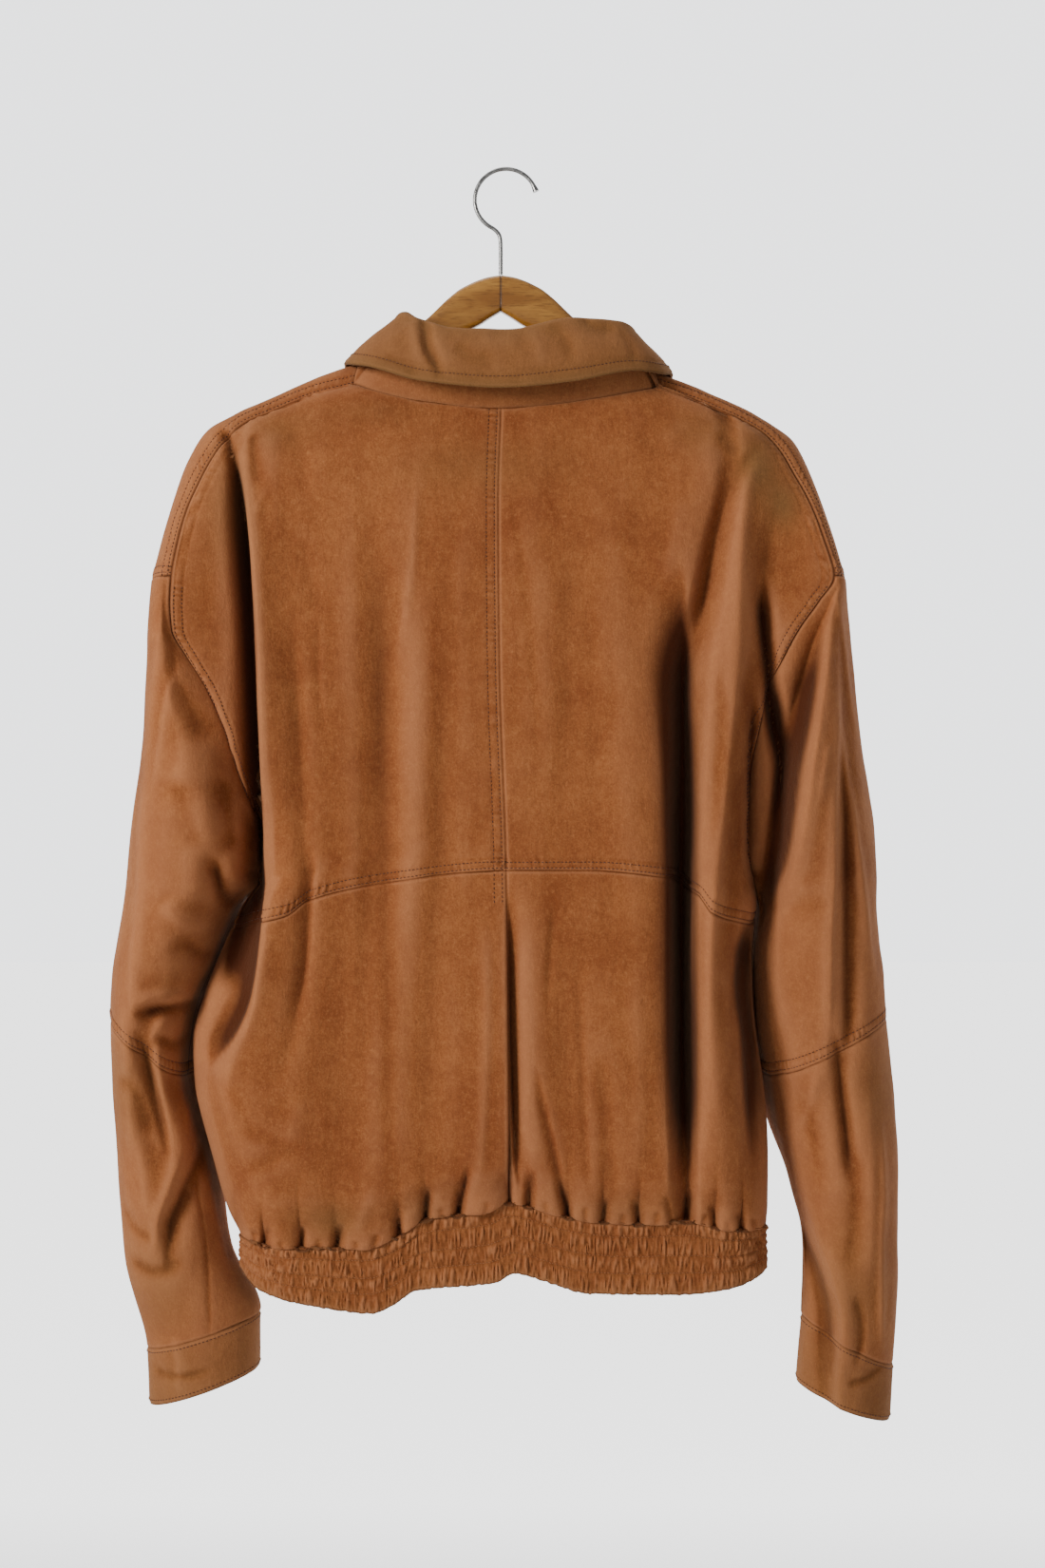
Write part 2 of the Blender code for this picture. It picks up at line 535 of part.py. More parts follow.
def sleeve_row(side, drop, seam_depth, seam_x):
    """One row round the sleeve, from the back seam over the outer edge to the front seam."""
    data = SLEEVE[side]
    sign = SIDES[side]
    outer, slant, middle, half = (
        float(smooth(drop, data["drop"], data[name])) for name in ("outer", "slant", "middle", "half")
    )
    inner = seam_x if seam_x is not None else float(smooth(drop, data["drop"], data["inner"]))
    half = max(half, seam_depth)
    inner_cos = math.sqrt(1 - (seam_depth / half) ** 2)
    half_width = (outer - inner) * sign / (1 + inner_cos)
    centre_x = outer - sign * half_width
    first = math.acos(inner_cos)
    line_x = np.array([smooth(drop, SLEEVE_FOLD_DROPS, line[1]) for line in SLEEVE_FOLDS[side]])
    line_rise = np.array([smooth(drop, SLEEVE_FOLD_DROPS, line[2]) for line in SLEEVE_FOLDS[side]])
    line_cos = np.clip(-sign * (line_x - centre_x) / half_width, -1, 1)
    share = (np.arccos(line_cos) - first) / (math.pi - first)
    share = increasing(np.maximum(share, LEAST_TURN_SHARE), LEAST_TURN_SHARE)
    share = np.minimum(share, 1 - LEAST_TURN_SHARE * np.arange(len(share), 0, -1))
    knots = np.concatenate([[0.0], share, [1.0]])
    back = np.concatenate(
        [np.linspace(knots[i], knots[i + 1], n, endpoint=False) for i, n in enumerate(SLEEVE_STEPS)]
    )
    front = np.linspace(1, 0, SLEEVE_FRONT_STEPS + 1)
    rise = smooth(back, knots, np.concatenate([[0.0], line_rise, [0.0]]))
    row = []
    stops = [(share, lift, -1) for share, lift in zip(back, rise)] + [(share, 0, 1) for share in front]
    for share_round, lift, facing in stops:
        angle = first + share_round * (math.pi - first)
        x = centre_x - sign * half_width * math.cos(angle)
        y = middle + facing * (half + lift) * math.sin(angle)
        row.append((x, y, -(drop + slant * math.cos(angle))))
    return row


def upper_sleeve(side):
    rows = [sleeve_row(side, 315, SHOULDER[side]["depth"][-1], SHOULDER[side]["seam_x"][-1])]
    clear = np.interp(ARMHOLE_DROP, *zip(*UNDERARM_CLEAR)) * SIDES[side]
    for drop, depth, x in zip(ARMHOLE_DROP, ARMHOLE_DEPTH, ARMHOLE_X[side] + clear):
        rows.append(sleeve_row(side, drop, depth, x))
    rows += [sleeve_row(side, drop, 0, None) for drop in UPPER_SLEEVE_ROWS]
    return np.array(rows)


def lower_sleeve(side):
    drops = np.linspace(ELBOW_DROP, CUFF_TOP[side], LOWER_SLEEVE_ROWS)
    return np.array([sleeve_row(side, drop, 0, None) for drop in drops])


def cuff_rows(side):
    drops = np.linspace(CUFF_TOP[side], CUFF_BOTTOM[side], CUFF_ROWS)
    return np.array([sleeve_row(side, drop, 0, None) for drop in drops])


def outward(grid, closed_from=None):
    """Unit normals of a grid of points, from its neighbours on either side."""
    down = np.gradient(grid, axis=0)
    along = np.gradient(grid, axis=1)
    if closed_from is not None:
        wrap = (grid[:, 1] - grid[:, -2]) / 2
        along[closed_from:, 0] = wrap[closed_from:]
        along[closed_from:, -1] = wrap[closed_from:]
    normal = np.cross(down, along)
    return normal / np.maximum(np.linalg.norm(normal, axis=2, keepdims=True), 1e-9)


def pulled(grid, amount, top=True, bottom=True, start=True, end=True, closed_from=None):
    """The grid with its chosen edges moved inwards along the cloth."""
    grid = grid.copy()

    def step(edge, inside):
        span = inside - edge
        return edge + span / np.maximum(np.linalg.norm(span, axis=1, keepdims=True), 1e-9) * amount

    open_rows = slice(0, closed_from)
    if start:
        grid[open_rows, 0] = step(grid[open_rows, 0], grid[open_rows, 1])
    if end:
        grid[open_rows, -1] = step(grid[open_rows, -1], grid[open_rows, -2])
    if top:
        grid[0] = step(grid[0], grid[1])
    if bottom:
        grid[-1] = step(grid[-1], grid[-2])
    return grid


def cloth(name, grid, flip=False, closed_from=None, inside=None, finish=SUEDE):
    """A closed wall of cloth: the grid is its outside. Rows from closed_from on are tubes."""
    sign = -1 if flip else 1
    if inside is None:
        inside = grid - sign * outward(grid, closed_from) * WALL
    if closed_from is not None:
        inside[closed_from:, -1] = inside[closed_from:, 0]
    outer = pulled(grid, SEAM_GAP / 2, closed_from=closed_from)
    inner = pulled(inside, SEAM_GAP / 2 + RIM_SLANT, closed_from=closed_from)
    if closed_from:
        for skin, amount in ((outer, SEAM_GAP), (inner, SEAM_GAP + RIM_SLANT)):
            skin[closed_from, (0, -1), 2] -= amount
    rows, columns = grid.shape[:2]
    mesh = bmesh.new()

    def vertices(points):
        made = [[mesh.verts.new(p * MM) for p in row] for row in points]
        if closed_from is not None:
            for row in made[closed_from:]:
                mesh.verts.remove(row[-1])
                row[-1] = row[0]
        return made

    out, into = vertices(outer), vertices(inner)

    def face(*corners):
        mesh.faces.new(corners[::sign])

    for r in range(rows - 1):
        for c in range(columns - 1):
            face(out[r][c], out[r + 1][c], out[r + 1][c + 1], out[r][c + 1])
            face(into[r][c + 1], into[r + 1][c + 1], into[r + 1][c], into[r][c])
    for c in range(columns - 1):
        face(out[0][c], out[0][c + 1], into[0][c + 1], into[0][c])
        face(out[-1][c + 1], out[-1][c], into[-1][c], into[-1][c + 1])
    for r in range(rows - 1 if closed_from is None else closed_from):
        face(out[r][0], into[r][0], into[r + 1][0], out[r + 1][0])
        face(out[r + 1][-1], into[r + 1][-1], into[r][-1], out[r][-1])
    return solid(name, mesh, finish)


def solid(name, mesh, finish):
    """Turns a bmesh into a named object with its own material, shaded smooth."""
    bmesh.ops.recalc_face_normals(mesh, faces=mesh.faces)
    data = bpy.data.meshes.new(name)
    mesh.to_mesh(data)
    mesh.free()
    data.shade_smooth()
    data.set_sharp_from_angle(angle=math.radians(SHARP_ANGLE))
    data.materials.append(material(name, finish))
    made = bpy.data.objects.new(name, data)
    bpy.context.scene.collection.objects.link(made)
    return made


def material(name, finish):
    colour, roughness, metallic = finish
    made = bpy.data.materials.new(name)
    made.use_nodes = True
    shader = made.node_tree.nodes["Principled BSDF"]
    shader.inputs["Base Color"].default_value = (*colour, 1)
    shader.inputs["Roughness"].default_value = roughness
    shader.inputs["Metallic"].default_value = metallic
    return made


def neck_line(panels):
    """Points round the neck seam, front left edge to front right edge, with their turns."""
    left_strip, right_strip = strip_rows("left")[0], strip_rows("right")[0]
    fronts = {}
    for side, sign in SIDES.items():
        row = panels["front_" + side][0]
        kept = row[row[:, 0] * sign > COLLAR_END + 1]
        end = [COLLAR_END * sign]
        end += [np.interp(COLLAR_END, (row[::-1, 0] * sign), row[::-1, i]) for i in (1, 2)]
        fronts[side] = np.concatenate([kept, [end]])
    parts = (
        (fronts["left"][::-1], -180, -STRIP_TURN[1]),
        (left_strip[::-1][1:-1], -STRIP_TURN[1] + 5, -STRIP_TURN[0] - 5),
        (panels["back_upper_left"][0][:-1], -STRIP_TURN[0], -5),
        (panels["back_upper_right"][0][::-1], 0, STRIP_TURN[0]),
        (right_strip[1:-1], STRIP_TURN[0] + 5, STRIP_TURN[1] - 5),
        (fronts["right"], STRIP_TURN[1], 180),
    )
    points = np.concatenate([np.asarray(part) for part, _, _ in parts])
    turns = np.concatenate([np.linspace(first, last, len(part)) for part, first, last in parts])
    return points, turns


def ring(data, turns):
    return np.stack(
        [smooth(turns, data["turn"], data["x"]), smooth(turns, data["turn"], data["y"]),
         -smooth(turns, data["turn"], data["drop"])], axis=1,
    )


def away_from_neck(points):
    """Level unit vectors pointing out of the ring that the points lie on."""
    along = np.gradient(points, axis=0)
    out = np.stack([-along[:, 1], along[:, 0], np.zeros(len(points))], axis=1)
    out /= np.linalg.norm(out, axis=1, keepdims=True)
    middle = points.mean(axis=0)
    return out * (1 if ((points - middle) * out).sum() > 0 else -1)


def build_collar(panels):
    """The stand rises from the neck seam to the crease, and the fall turns down over it."""
    neck, turns = neck_line(panels)
    crease, edge = ring(CREASE, turns), ring(FALL_EDGE, turns)
    out = away_from_neck(crease)
    up = np.array([0, 0, 1.0])
    tucked = np.clip((abs(abs(turns) - 90) - 15) / 15, 0, 1)[:, None]
    foot = neck - away_from_neck(neck) * STAND_TUCK * tucked
    foot += up * (STAND_LIFT - (STAND_LIFT + STAND_DIP) * tucked)
    top = crease + out * STAND_TOP[0] + up * STAND_TOP[1]
    middle = foot + (top - foot) * 0.5
    cloth("collar_stand", np.array([foot, middle, top]), flip=True)
    rows = [crease + out * across + up * rise for across, rise in CROWN]
    for share in FALL_ROWS:
        bulge = FALL_BULGE * math.sin(math.pi * share)
        rows.append(rows[2] + (edge - rows[2]) * share + out * bulge)
    cloth("collar_fall", np.array(rows))


def equal_steps(line, count):
    """The polyline resampled into equal steps."""
    length = np.concatenate([[0], np.cumsum(np.linalg.norm(np.diff(line, axis=0), axis=1))])
    at = np.linspace(0, length[-1], count + 1)
    return np.stack([np.interp(at, length, line[:, i]) for i in range(line.shape[1])], axis=1)


def band_line(front, share, first_x, last_x, count):
    """A level line round one stretch of the waistband, as x and y, share 0 at its top."""
    turn = np.linspace(0, math.pi, FINE_STEPS)
    x = first_x + (last_x - first_x) * (1 - np.cos(turn)) / 2
    drop = BAND_TOP_DROP + BAND_HEIGHT * share
    full = smooth(drop, BODY["drop"], BODY["front" if front else "back"])
    reach = smooth(drop, BODY["drop"], BODY["reach"])
    left, right = SIDE_EDGE["left"]["x"][-1], SIDE_EDGE["right"]["x"][-1]
    inward = np.clip(np.minimum(x - left, right - x) / reach, 0, 1)
    y = full * np.sqrt(1 - (1 - inward) ** 2) * (1 if front else -1)
    return equal_steps(np.stack([x, y], axis=1), count)


def build_band(name, front, first_x, last_x, gathers, hem_line, bottom, lift=0.0):
    """One stretch of the ruched waistband: raised gathers over a plain inside."""
    count = 2 * gathers
    rows = []
    wave = np.where(np.arange(count + 1) % 2, GATHER_RISE, -GATHER_RISE / 2)
    wave[0] = wave[-1] = 0
    for share in (0, 0.5, 1):
        line = band_line(front, share, first_x, last_x, count)
        x = line[:, 0]
        top = np.interp(x, *hem_line)
        low = smooth(x, bottom["x"], bottom["drop"])
        rows.append(np.stack([x, line[:, 1], -(top + (low - top) * share)], axis=1))
    grid = np.array(rows)
    lap = np.clip((grid[:, :, 0] + 2 * BUTTON_STAND) / BUTTON_STAND, 0, 1)
    grid[:, :, 1] += lift * lap * lap * (3 - 2 * lap)
    normal = outward(grid)
    if (normal[:, :, 1].sum() > 0) != front:
        normal = -normal
    if front:
        wave = wave * np.clip(abs(grid[0][:, 0] - last_x) / BUTTON_STAND - 1, 0, 1)
    outer = grid + normal * wave[None, :, None]
    cloth(name, outer, flip=first_x > last_x, inside=grid - normal * WALL)


def build_hanger():
    """Two shaped arms of wood, glued at a middle joint."""
    for side, sign in SIDES.items():
        strip = SHOULDER[side]
        out = HANGER_TOP["out"] + HANGER_GLUE_LINE / 2
        under = strip["ridge_drop"][:HANGER_STATIONS] + HANGER_UNDER_STRIP
        x = np.concatenate([HANGER_JOINT_X + sign * out, strip["ridge_x"][:HANGER_STATIONS]])
        top = np.concatenate([HANGER_TOP["drop"], under])
        reach = abs(x - HANGER_JOINT_X)
        heights = smooth(reach, HANGER_HEIGHT["out"], HANGER_HEIGHT["height"])
        mesh = bmesh.new()
        rings = []
        for cx, drop, height in zip(x, top, heights):
            ring_points = []
            for k in range(HANGER_SECTION_POINTS):
                angle = 2 * math.pi * (k + 0.5) / HANGER_SECTION_POINTS
                across, up = math.cos(angle), math.sin(angle)
                y = HANGER_HALF_THICKNESS * math.copysign(abs(across) ** HANGER_SIDE_ROUNDING, across)
                z = height / 2 * math.copysign(abs(up) ** HANGER_EDGE_ROUNDING, up)
                ring_points.append(mesh.verts.new((cx * MM, y * MM, (z - drop - height / 2) * MM)))
            rings.append(ring_points)
        for a, b in zip(rings, rings[1:]):
            for k in range(HANGER_SECTION_POINTS):
                n = (k + 1) % HANGER_SECTION_POINTS
                mesh.faces.new((a[k], a[n], b[n], b[k]))
        mesh.faces.new(rings[0][::-1])
        mesh.faces.new(rings[-1])
        solid("hanger_" + side, mesh, WOOD)


def build_hook():
    """Bent wire: most of a circle over the bearing point, then the shank into the wood."""
    centre_z = HOOK_WIRE / 2 - HOOK_RADIUS
    points = []
    for angle in np.radians(np.linspace(HOOK_TIP_ANGLE, HOOK_LAST_ANGLE, HOOK_ARC_STEPS)):
        x = HOOK_CENTRE_X + HOOK_RADIUS * math.cos(angle)
        points.append((x, centre_z + HOOK_RADIUS * math.sin(angle)))
    points += HOOK_SHANK
    points.append((HANGER_JOINT_X, -HANGER_TOP["drop"][0] + SEAM_GAP))
    curve = bpy.data.curves.new("hanger_hook", "CURVE")
    curve.dimensions = "3D"
    curve.bevel_depth = HOOK_WIRE / 2 * MM
    curve.bevel_resolution = 3
    curve.use_fill_caps = True
    spline = curve.splines.new("POLY")
    spline.points.add(len(points) - 1)
    for point, (x, z) in zip(spline.points, points):
        point.co = (x * MM, 0, z * MM, 1)
    curve.materials.append(material("hanger_hook", STEEL))
    bpy.context.scene.collection.objects.link(bpy.data.objects.new("hanger_hook", curve))


def build_button(name, centre, normal, radius):
    """A turned button with a raised rim; its back lies just off the cloth."""
    mesh = bmesh.new()
    rings = []
    for share, height in BUTTON_PROFILE:
        circle = []
        for k in range(BUTTON_SIDES):
            angle = 2 * math.pi * k / BUTTON_SIDES
            point = Vector((share * radius * math.cos(angle), share * radius * math.sin(angle), 0))
            point.z = height * BUTTON_THICKNESS
            circle.append(mesh.verts.new(point * MM))
        rings.append(circle)
    for a, b in zip(rings, rings[1:]):
        for k in range(BUTTON_SIDES):
            n = (k + 1) % BUTTON_SIDES
            mesh.faces.new((a[k], a[n], b[n], b[k]))
    mesh.faces.new(rings[0][::-1])
    mesh.faces.new(rings[-1])
    made = solid(name, mesh, HORN)
    made.location = [value * MM for value in centre]
    made.rotation_mode = "QUATERNION"
    made.rotation_quaternion = normal.to_track_quat("Z", "Y")


def build_front_buttons():
    """Six buttons down the lap of the left front, the lowest on the waistband."""
    for number, drop in enumerate(BUTTON_DROPS, start=1):
        ahead, above, below = (
            float(body_y("left", True, drop + shift, 0.0)) for shift in (0, -BUTTON_RADIUS, BUTTON_RADIUS)
        )
        y = max(ahead, (above + below) / 2) + LAP_LIFT + LAYER_LIFT
        normal = Vector((0, 2 * BUTTON_RADIUS, below - above))
        build_button(f"front_button_{number}", (0, y, -drop), normal, BUTTON_RADIUS)
    y = smooth(BAND_BUTTON_DROP, BODY["drop"], BODY["front"]) + LAP_LIFT + LAYER_LIFT
    centre = (0, float(y), -BAND_BUTTON_DROP)
    build_button(f"front_button_{len(BUTTON_DROPS) + 1}", centre, Vector((0, 1, 0)), BUTTON_RADIUS)


def build_cuff_buttons():
    """One button on the front of each cuff."""
    for side in SIDES:
        rows = cuff_rows(side)
        column = rows.shape[1] - 1 - SLEEVE_FRONT_STEPS // 2
        corner = rows[1][column]
        down = rows[2][column] - rows[0][column]
        along = rows[1][column + 1] - rows[1][column - 1]
        normal = Vector(np.cross(down, along)).normalized()
        if normal.y < 0:
            normal.negate()
        centre = corner + np.array(normal) * (LAYER_LIFT + CUFF_BUTTON_CLEAR)
        build_button("cuff_button_" + side, centre, normal, CUFF_BUTTON_RADIUS)


def clear_scene():
    for existing in list(bpy.data.objects):
        bpy.data.objects.remove(existing)


def build():
    clear_scene()
    panels = {}
    for side in SIDES:
        flip = side == "right"
        panels["back_upper_" + side] = back_upper(side)
        panels["back_lower_" + side] = back_lower(side)
        panels["front_" + side] = front_panel(side)
        cloth("back_upper_" + side, panels["back_upper_" + side], flip=flip)
        cloth("back_lower_" + side, panels["back_lower_" + side], flip=flip)
        cloth("front_" + side, panels["front_" + side], flip=not flip)
        cloth("shoulder_strip_" + side, strip_rows(side), flip=not flip)
        underarm = 1 + ARMHOLE_DROP.index(UNDERARM_DROP)
        cloth("sleeve_upper_" + side, upper_sleeve(side), flip=not flip, closed_from=underarm)
        cloth("sleeve_lower_" + side, lower_sleeve(side), flip=not flip, closed_from=0)
        cloth("cuff_" + side, cuff_rows(side), flip=not flip, closed_from=0)
    build_collar(panels)
    hem = np.concatenate([panels["back_lower_left"][-1][:-1], panels["back_lower_right"][-1][::-1]])
    side_x = SIDE_EDGE["left"]["x"][-1], SIDE_EDGE["right"]["x"][-1]
    build_band("waistband_back", False, *side_x, BAND_GATHERS, (hem[:, 0], -hem[:, 2]), BAND_BOTTOM_BACK)
    hem = panels["front_left"][-1]
    build_band("waistband_front_left", True, side_x[0], FRONT_EDGE, FRONT_BAND_GATHERS,
               (hem[:, 0], -hem[:, 2]), BAND_BOTTOM_FRONT, lift=LAP_LIFT)
    hem = panels["front_right"][-1][::-1]
    build_band("waistband_front_right", True, side_x[1], -FRONT_EDGE, FRONT_BAND_GATHERS,
               (hem[:, 0], -hem[:, 2]), BAND_BOTTOM_FRONT)
    build_front_buttons()
    build_cuff_buttons()
    build_hanger()
    build_hook()


build()
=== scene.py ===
"""A worn suede blouson hanging on a two-piece wooden hanger: +Z up, its back towards -Y.

Lengths in tables are millimetres, and a drop is a distance below the point the hook bears on.
"""

import math

import bmesh
import bpy
import numpy as np
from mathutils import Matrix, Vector, noise


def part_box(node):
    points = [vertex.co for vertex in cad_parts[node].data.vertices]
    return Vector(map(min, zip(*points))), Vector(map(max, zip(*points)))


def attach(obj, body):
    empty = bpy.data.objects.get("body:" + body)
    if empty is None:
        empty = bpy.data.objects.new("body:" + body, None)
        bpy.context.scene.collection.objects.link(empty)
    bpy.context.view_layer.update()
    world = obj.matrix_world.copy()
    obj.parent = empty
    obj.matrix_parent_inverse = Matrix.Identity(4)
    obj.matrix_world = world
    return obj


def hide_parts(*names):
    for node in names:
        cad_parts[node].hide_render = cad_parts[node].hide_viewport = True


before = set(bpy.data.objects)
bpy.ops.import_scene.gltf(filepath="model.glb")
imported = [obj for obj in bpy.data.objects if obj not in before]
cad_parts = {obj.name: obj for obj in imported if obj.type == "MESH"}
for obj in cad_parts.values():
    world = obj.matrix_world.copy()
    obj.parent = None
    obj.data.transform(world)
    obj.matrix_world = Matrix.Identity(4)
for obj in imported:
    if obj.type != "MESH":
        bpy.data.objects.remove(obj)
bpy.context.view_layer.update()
MM = 0.001

# ---- Studio: a pale floor well below the garment and a pale room that glows behind it, lit by a
# soft window lamp high on the left, a weak fill on the right, a lamp for the garment's front and
# one overhead. All in metres; powers are watts.
MIDDLE_OF_GARMENT = (0, 0, -0.45)
LAMPS = (
    # name, place, point it faces, width and height, power, tint
    ("window_lamp", (-2.0, -1.75, 0.35), MIDDLE_OF_GARMENT, (0.8, 1.0), 71, (1.0, 0.98, 0.95)),
    ("fill_lamp", (2.2, -1.9, -0.2), (0, 0, -0.5), (1.6, 2.0), 5, (0.96, 0.98, 1.0)),
    ("front_lamp", (1.9, 1.8, 0.5), MIDDLE_OF_GARMENT, (0.9, 1.1), 22, (1.0, 0.98, 0.95)),
    ("top_lamp", (-0.3, 0.2, 1.6), (0, 0, -0.3), (1.6, 1.2), 12, (1.0, 0.99, 0.97)),
)
for name, place, target, size, power, tint in LAMPS:
    light = bpy.data.lights.new(name, "AREA")
    light.shape = "RECTANGLE"
    light.size, light.size_y = size
    light.energy = power
    light.color = tint
    lamp = bpy.data.objects.new(name, light)
    lamp.location = place
    lamp.rotation_euler = (Vector(target) - Vector(place)).to_track_quat("-Z", "Y").to_euler()
    bpy.context.scene.collection.objects.link(lamp)

# The room's own light, by the direction it comes from: dim all round, bright from behind.
ROOM_COLOUR = (0.97, 0.98, 1.0, 1)
ROOM_LIGHT, LIGHT_FROM_BEHIND = 0.34, 2.6
BEHIND_BEGINS, BEHIND_IS_FULL = 0.8, 0.9
room = bpy.data.worlds.new("room")
room.use_nodes = True
links = room.node_tree.links
whole = room.node_tree.nodes.new("ShaderNodeTexCoord")
split = room.node_tree.nodes.new("ShaderNodeSeparateXYZ")
shade = room.node_tree.nodes.new("ShaderNodeMapRange")
fade = (BEHIND_BEGINS, BEHIND_IS_FULL, ROOM_LIGHT, LIGHT_FROM_BEHIND)
for socket, value in zip(shade.inputs[1:5], fade):
    socket.default_value = value
links.new(whole.outputs["Generated"], split.inputs[0])
links.new(split.outputs["Y"], shade.inputs[0])
links.new(shade.outputs[0], room.node_tree.nodes["Background"].inputs["Strength"])
room.node_tree.nodes["Background"].inputs["Color"].default_value = ROOM_COLOUR
bpy.context.scene.world = room

# The camera stands level with the middle of the garment, square to its back.
CAMERA_PLACE = (0.01314, -1.67, -0.4701)
LENS, FILM_HEIGHT = 50, 36
camera_data = bpy.data.cameras.new("camera")
camera_data.lens = LENS
camera_data.sensor_fit = "VERTICAL"
camera_data.sensor_height = FILM_HEIGHT
camera = bpy.data.objects.new("camera", camera_data)
camera.location = CAMERA_PLACE
camera.rotation_euler = (math.radians(90), 0, 0)
bpy.context.scene.collection.objects.link(camera)
bpy.context.scene.camera = camera

FLOOR_LEVEL, FLOOR_REACH = -1.75, 14.0
FLOOR_PAINT, FLOOR_ROUGHNESS = (0.9, 0.9, 0.9), 0.9
# how far behind the garment the floor starts to glow, where it glows in full, and how strongly
GLOW_BEGINS, GLOW_IS_FULL, GLOW = 1.0, 2.2, 2.2


def painted(name, colour, roughness):
    """A new material with its own shader and links, ready for more nodes."""
    made = bpy.data.materials.new(name)
    made.use_nodes = True
    shader = made.node_tree.nodes["Principled BSDF"]
    shader.inputs["Base Color"].default_value = (*colour, 1)
    shader.inputs["Roughness"].default_value = roughness
    return made, made.node_tree, shader


def node(tree, kind, settings=None, **inputs):
    """Adds a node; each input is a value or the socket that feeds it, named or by place: i0, i1."""
    made = tree.nodes.new(kind)
    for key, value in (settings or {}).items():
        setattr(made, key, value)
    for key, value in inputs.items():
        place = int(key[1:]) if key[1:].isdigit() else key.replace("_", " ")
        socket = made.inputs[place]
        if isinstance(value, bpy.types.NodeSocket):
            tree.links.new(value, socket)
        else:
            socket.default_value = value
    return made


def build_floor():
    mesh = bpy.data.meshes.new("floor")
    around = ((-1, -1), (1, -1), (1, 1), (-1, 1))
    corners = [(x * FLOOR_REACH, y * FLOOR_REACH, FLOOR_LEVEL) for x, y in around]
    mesh.from_pydata(corners, [], [(0, 1, 2, 3)])
    floor = bpy.data.objects.new("floor", mesh)
    bpy.context.scene.collection.objects.link(floor)
    finish, tree, shader = painted("pale_floor", FLOOR_PAINT, FLOOR_ROUGHNESS)
    place = node(tree, "ShaderNodeTexCoord").outputs["Object"]
    back = node(tree, "ShaderNodeSeparateXYZ", i0=place).outputs["Y"]
    glow = node(tree, "ShaderNodeMapRange", Value=back, i1=GLOW_BEGINS, i2=GLOW_IS_FULL,
                i3=0.0, i4=GLOW)
    shader.inputs["Emission Color"].default_value = (1, 1, 1, 1)
    tree.links.new(glow.outputs[0], shader.inputs["Emission Strength"])
    mesh.materials.append(finish)


build_floor()

# ---- Hanger: two arms of light wood, sawn to the slope of the shoulders, rounded over on every
# edge, glued together at a middle joint and finished with an amber varnish.
HANGER_JOINT_X = -3.5
ARM_TOP = {
    "left": ((0, 80), (10, 81.5), (19, 84.5), (31, 90.5), (41, 98.5), (55, 112), (80, 132),
             (108.5, 150.1), (143.5, 163.1), (174.5, 177.1), (202.5, 190.1)),
    "right": ((0, 80), (10, 81.5), (19, 84.5), (31, 90.5), (41, 98.5), (55, 112), (80, 132),
              (117.5, 157.1), (155.5, 172.1), (184.5, 185.1), (206.5, 198.1)),
}
ARM_HEIGHT = ((0, 29), (20, 36), (60, 35), (120, 31), (170, 26), (210, 19))
ARM_HALF_THICKNESS = 6.4
ARM_TOP_ROUNDING = 0.65  # 0 keeps the top's straight runs, 1 rounds its corners right over
FLAT_SIDE, FLAT_TOP = 0.52, 0.7  # powers below 1 square off the arm's oval section
ARM_ENDS = {0: 0.97, 1: 0.992, -2: 0.93, -1: 0.80}  # the first and last rings draw in
TOP_EASE, HEIGHT_EASE = 0.35, 0.4  # sanded off the top line and off the half height
ARM_RING = 40  # points round the section


def smooth(at, knots, values):
    """A curve through the knots that never overshoots them. Knots and values are one list for
    all points, or an array whose first axis is the list and whose others are those of at."""
    knots, values = np.asarray(knots, float), np.asarray(values, float)
    at = np.clip(np.asarray(at, float), knots[0], knots[-1])
    step = np.diff(knots, axis=0)
    slope = np.diff(values, axis=0) / step
    tangent = np.zeros_like(knots)
    tangent[0], tangent[-1] = slope[0], slope[-1]
    rising = slope[:-1] * slope[1:] > 0
    total = np.where(rising, slope[:-1] + slope[1:], 1.0)
    tangent[1:-1] = np.where(rising, 2 * slope[:-1] * slope[1:] / total, 0.0)
    if knots.ndim == 1:
        before = np.searchsorted(knots, at, side="right") - 1
    else:
        before = (at[None] >= knots).sum(axis=0) - 1
    before = np.clip(before, 0, len(step) - 1)

    def pick(source, after=0):
        if source.ndim == 1:
            return source[before + after]
        return np.take_along_axis(source, before[None] + after, axis=0)[0]

    width = pick(step)
    t = (at - pick(knots)) / width
    start = (1 + 2 * t) * (1 - t) ** 2 * pick(values) + t * (1 - t) ** 2 * width * pick(tangent)
    end = t * t * (3 - 2 * t) * pick(values, 1) + t * t * (t - 1) * width * pick(tangent, 1)
    return start + end


def piece(name, points, faces, finish, marks=None):
    """A new piece from points in millimetres, with its finish."""
    mesh = bpy.data.meshes.new(name)
    mesh.from_pydata((np.asarray(points) * MM).tolist(), [], faces)
    mesh.shade_smooth()
    for mark, values in (marks or {}).items():
        data = mesh.attributes.new(mark, "FLOAT", "POINT")
        data.data.foreach_set("value", np.asarray(values, np.float32))
    mesh.materials.append(finish)
    made = bpy.data.objects.new(name, mesh)
    bpy.context.scene.collection.objects.link(made)
    return made


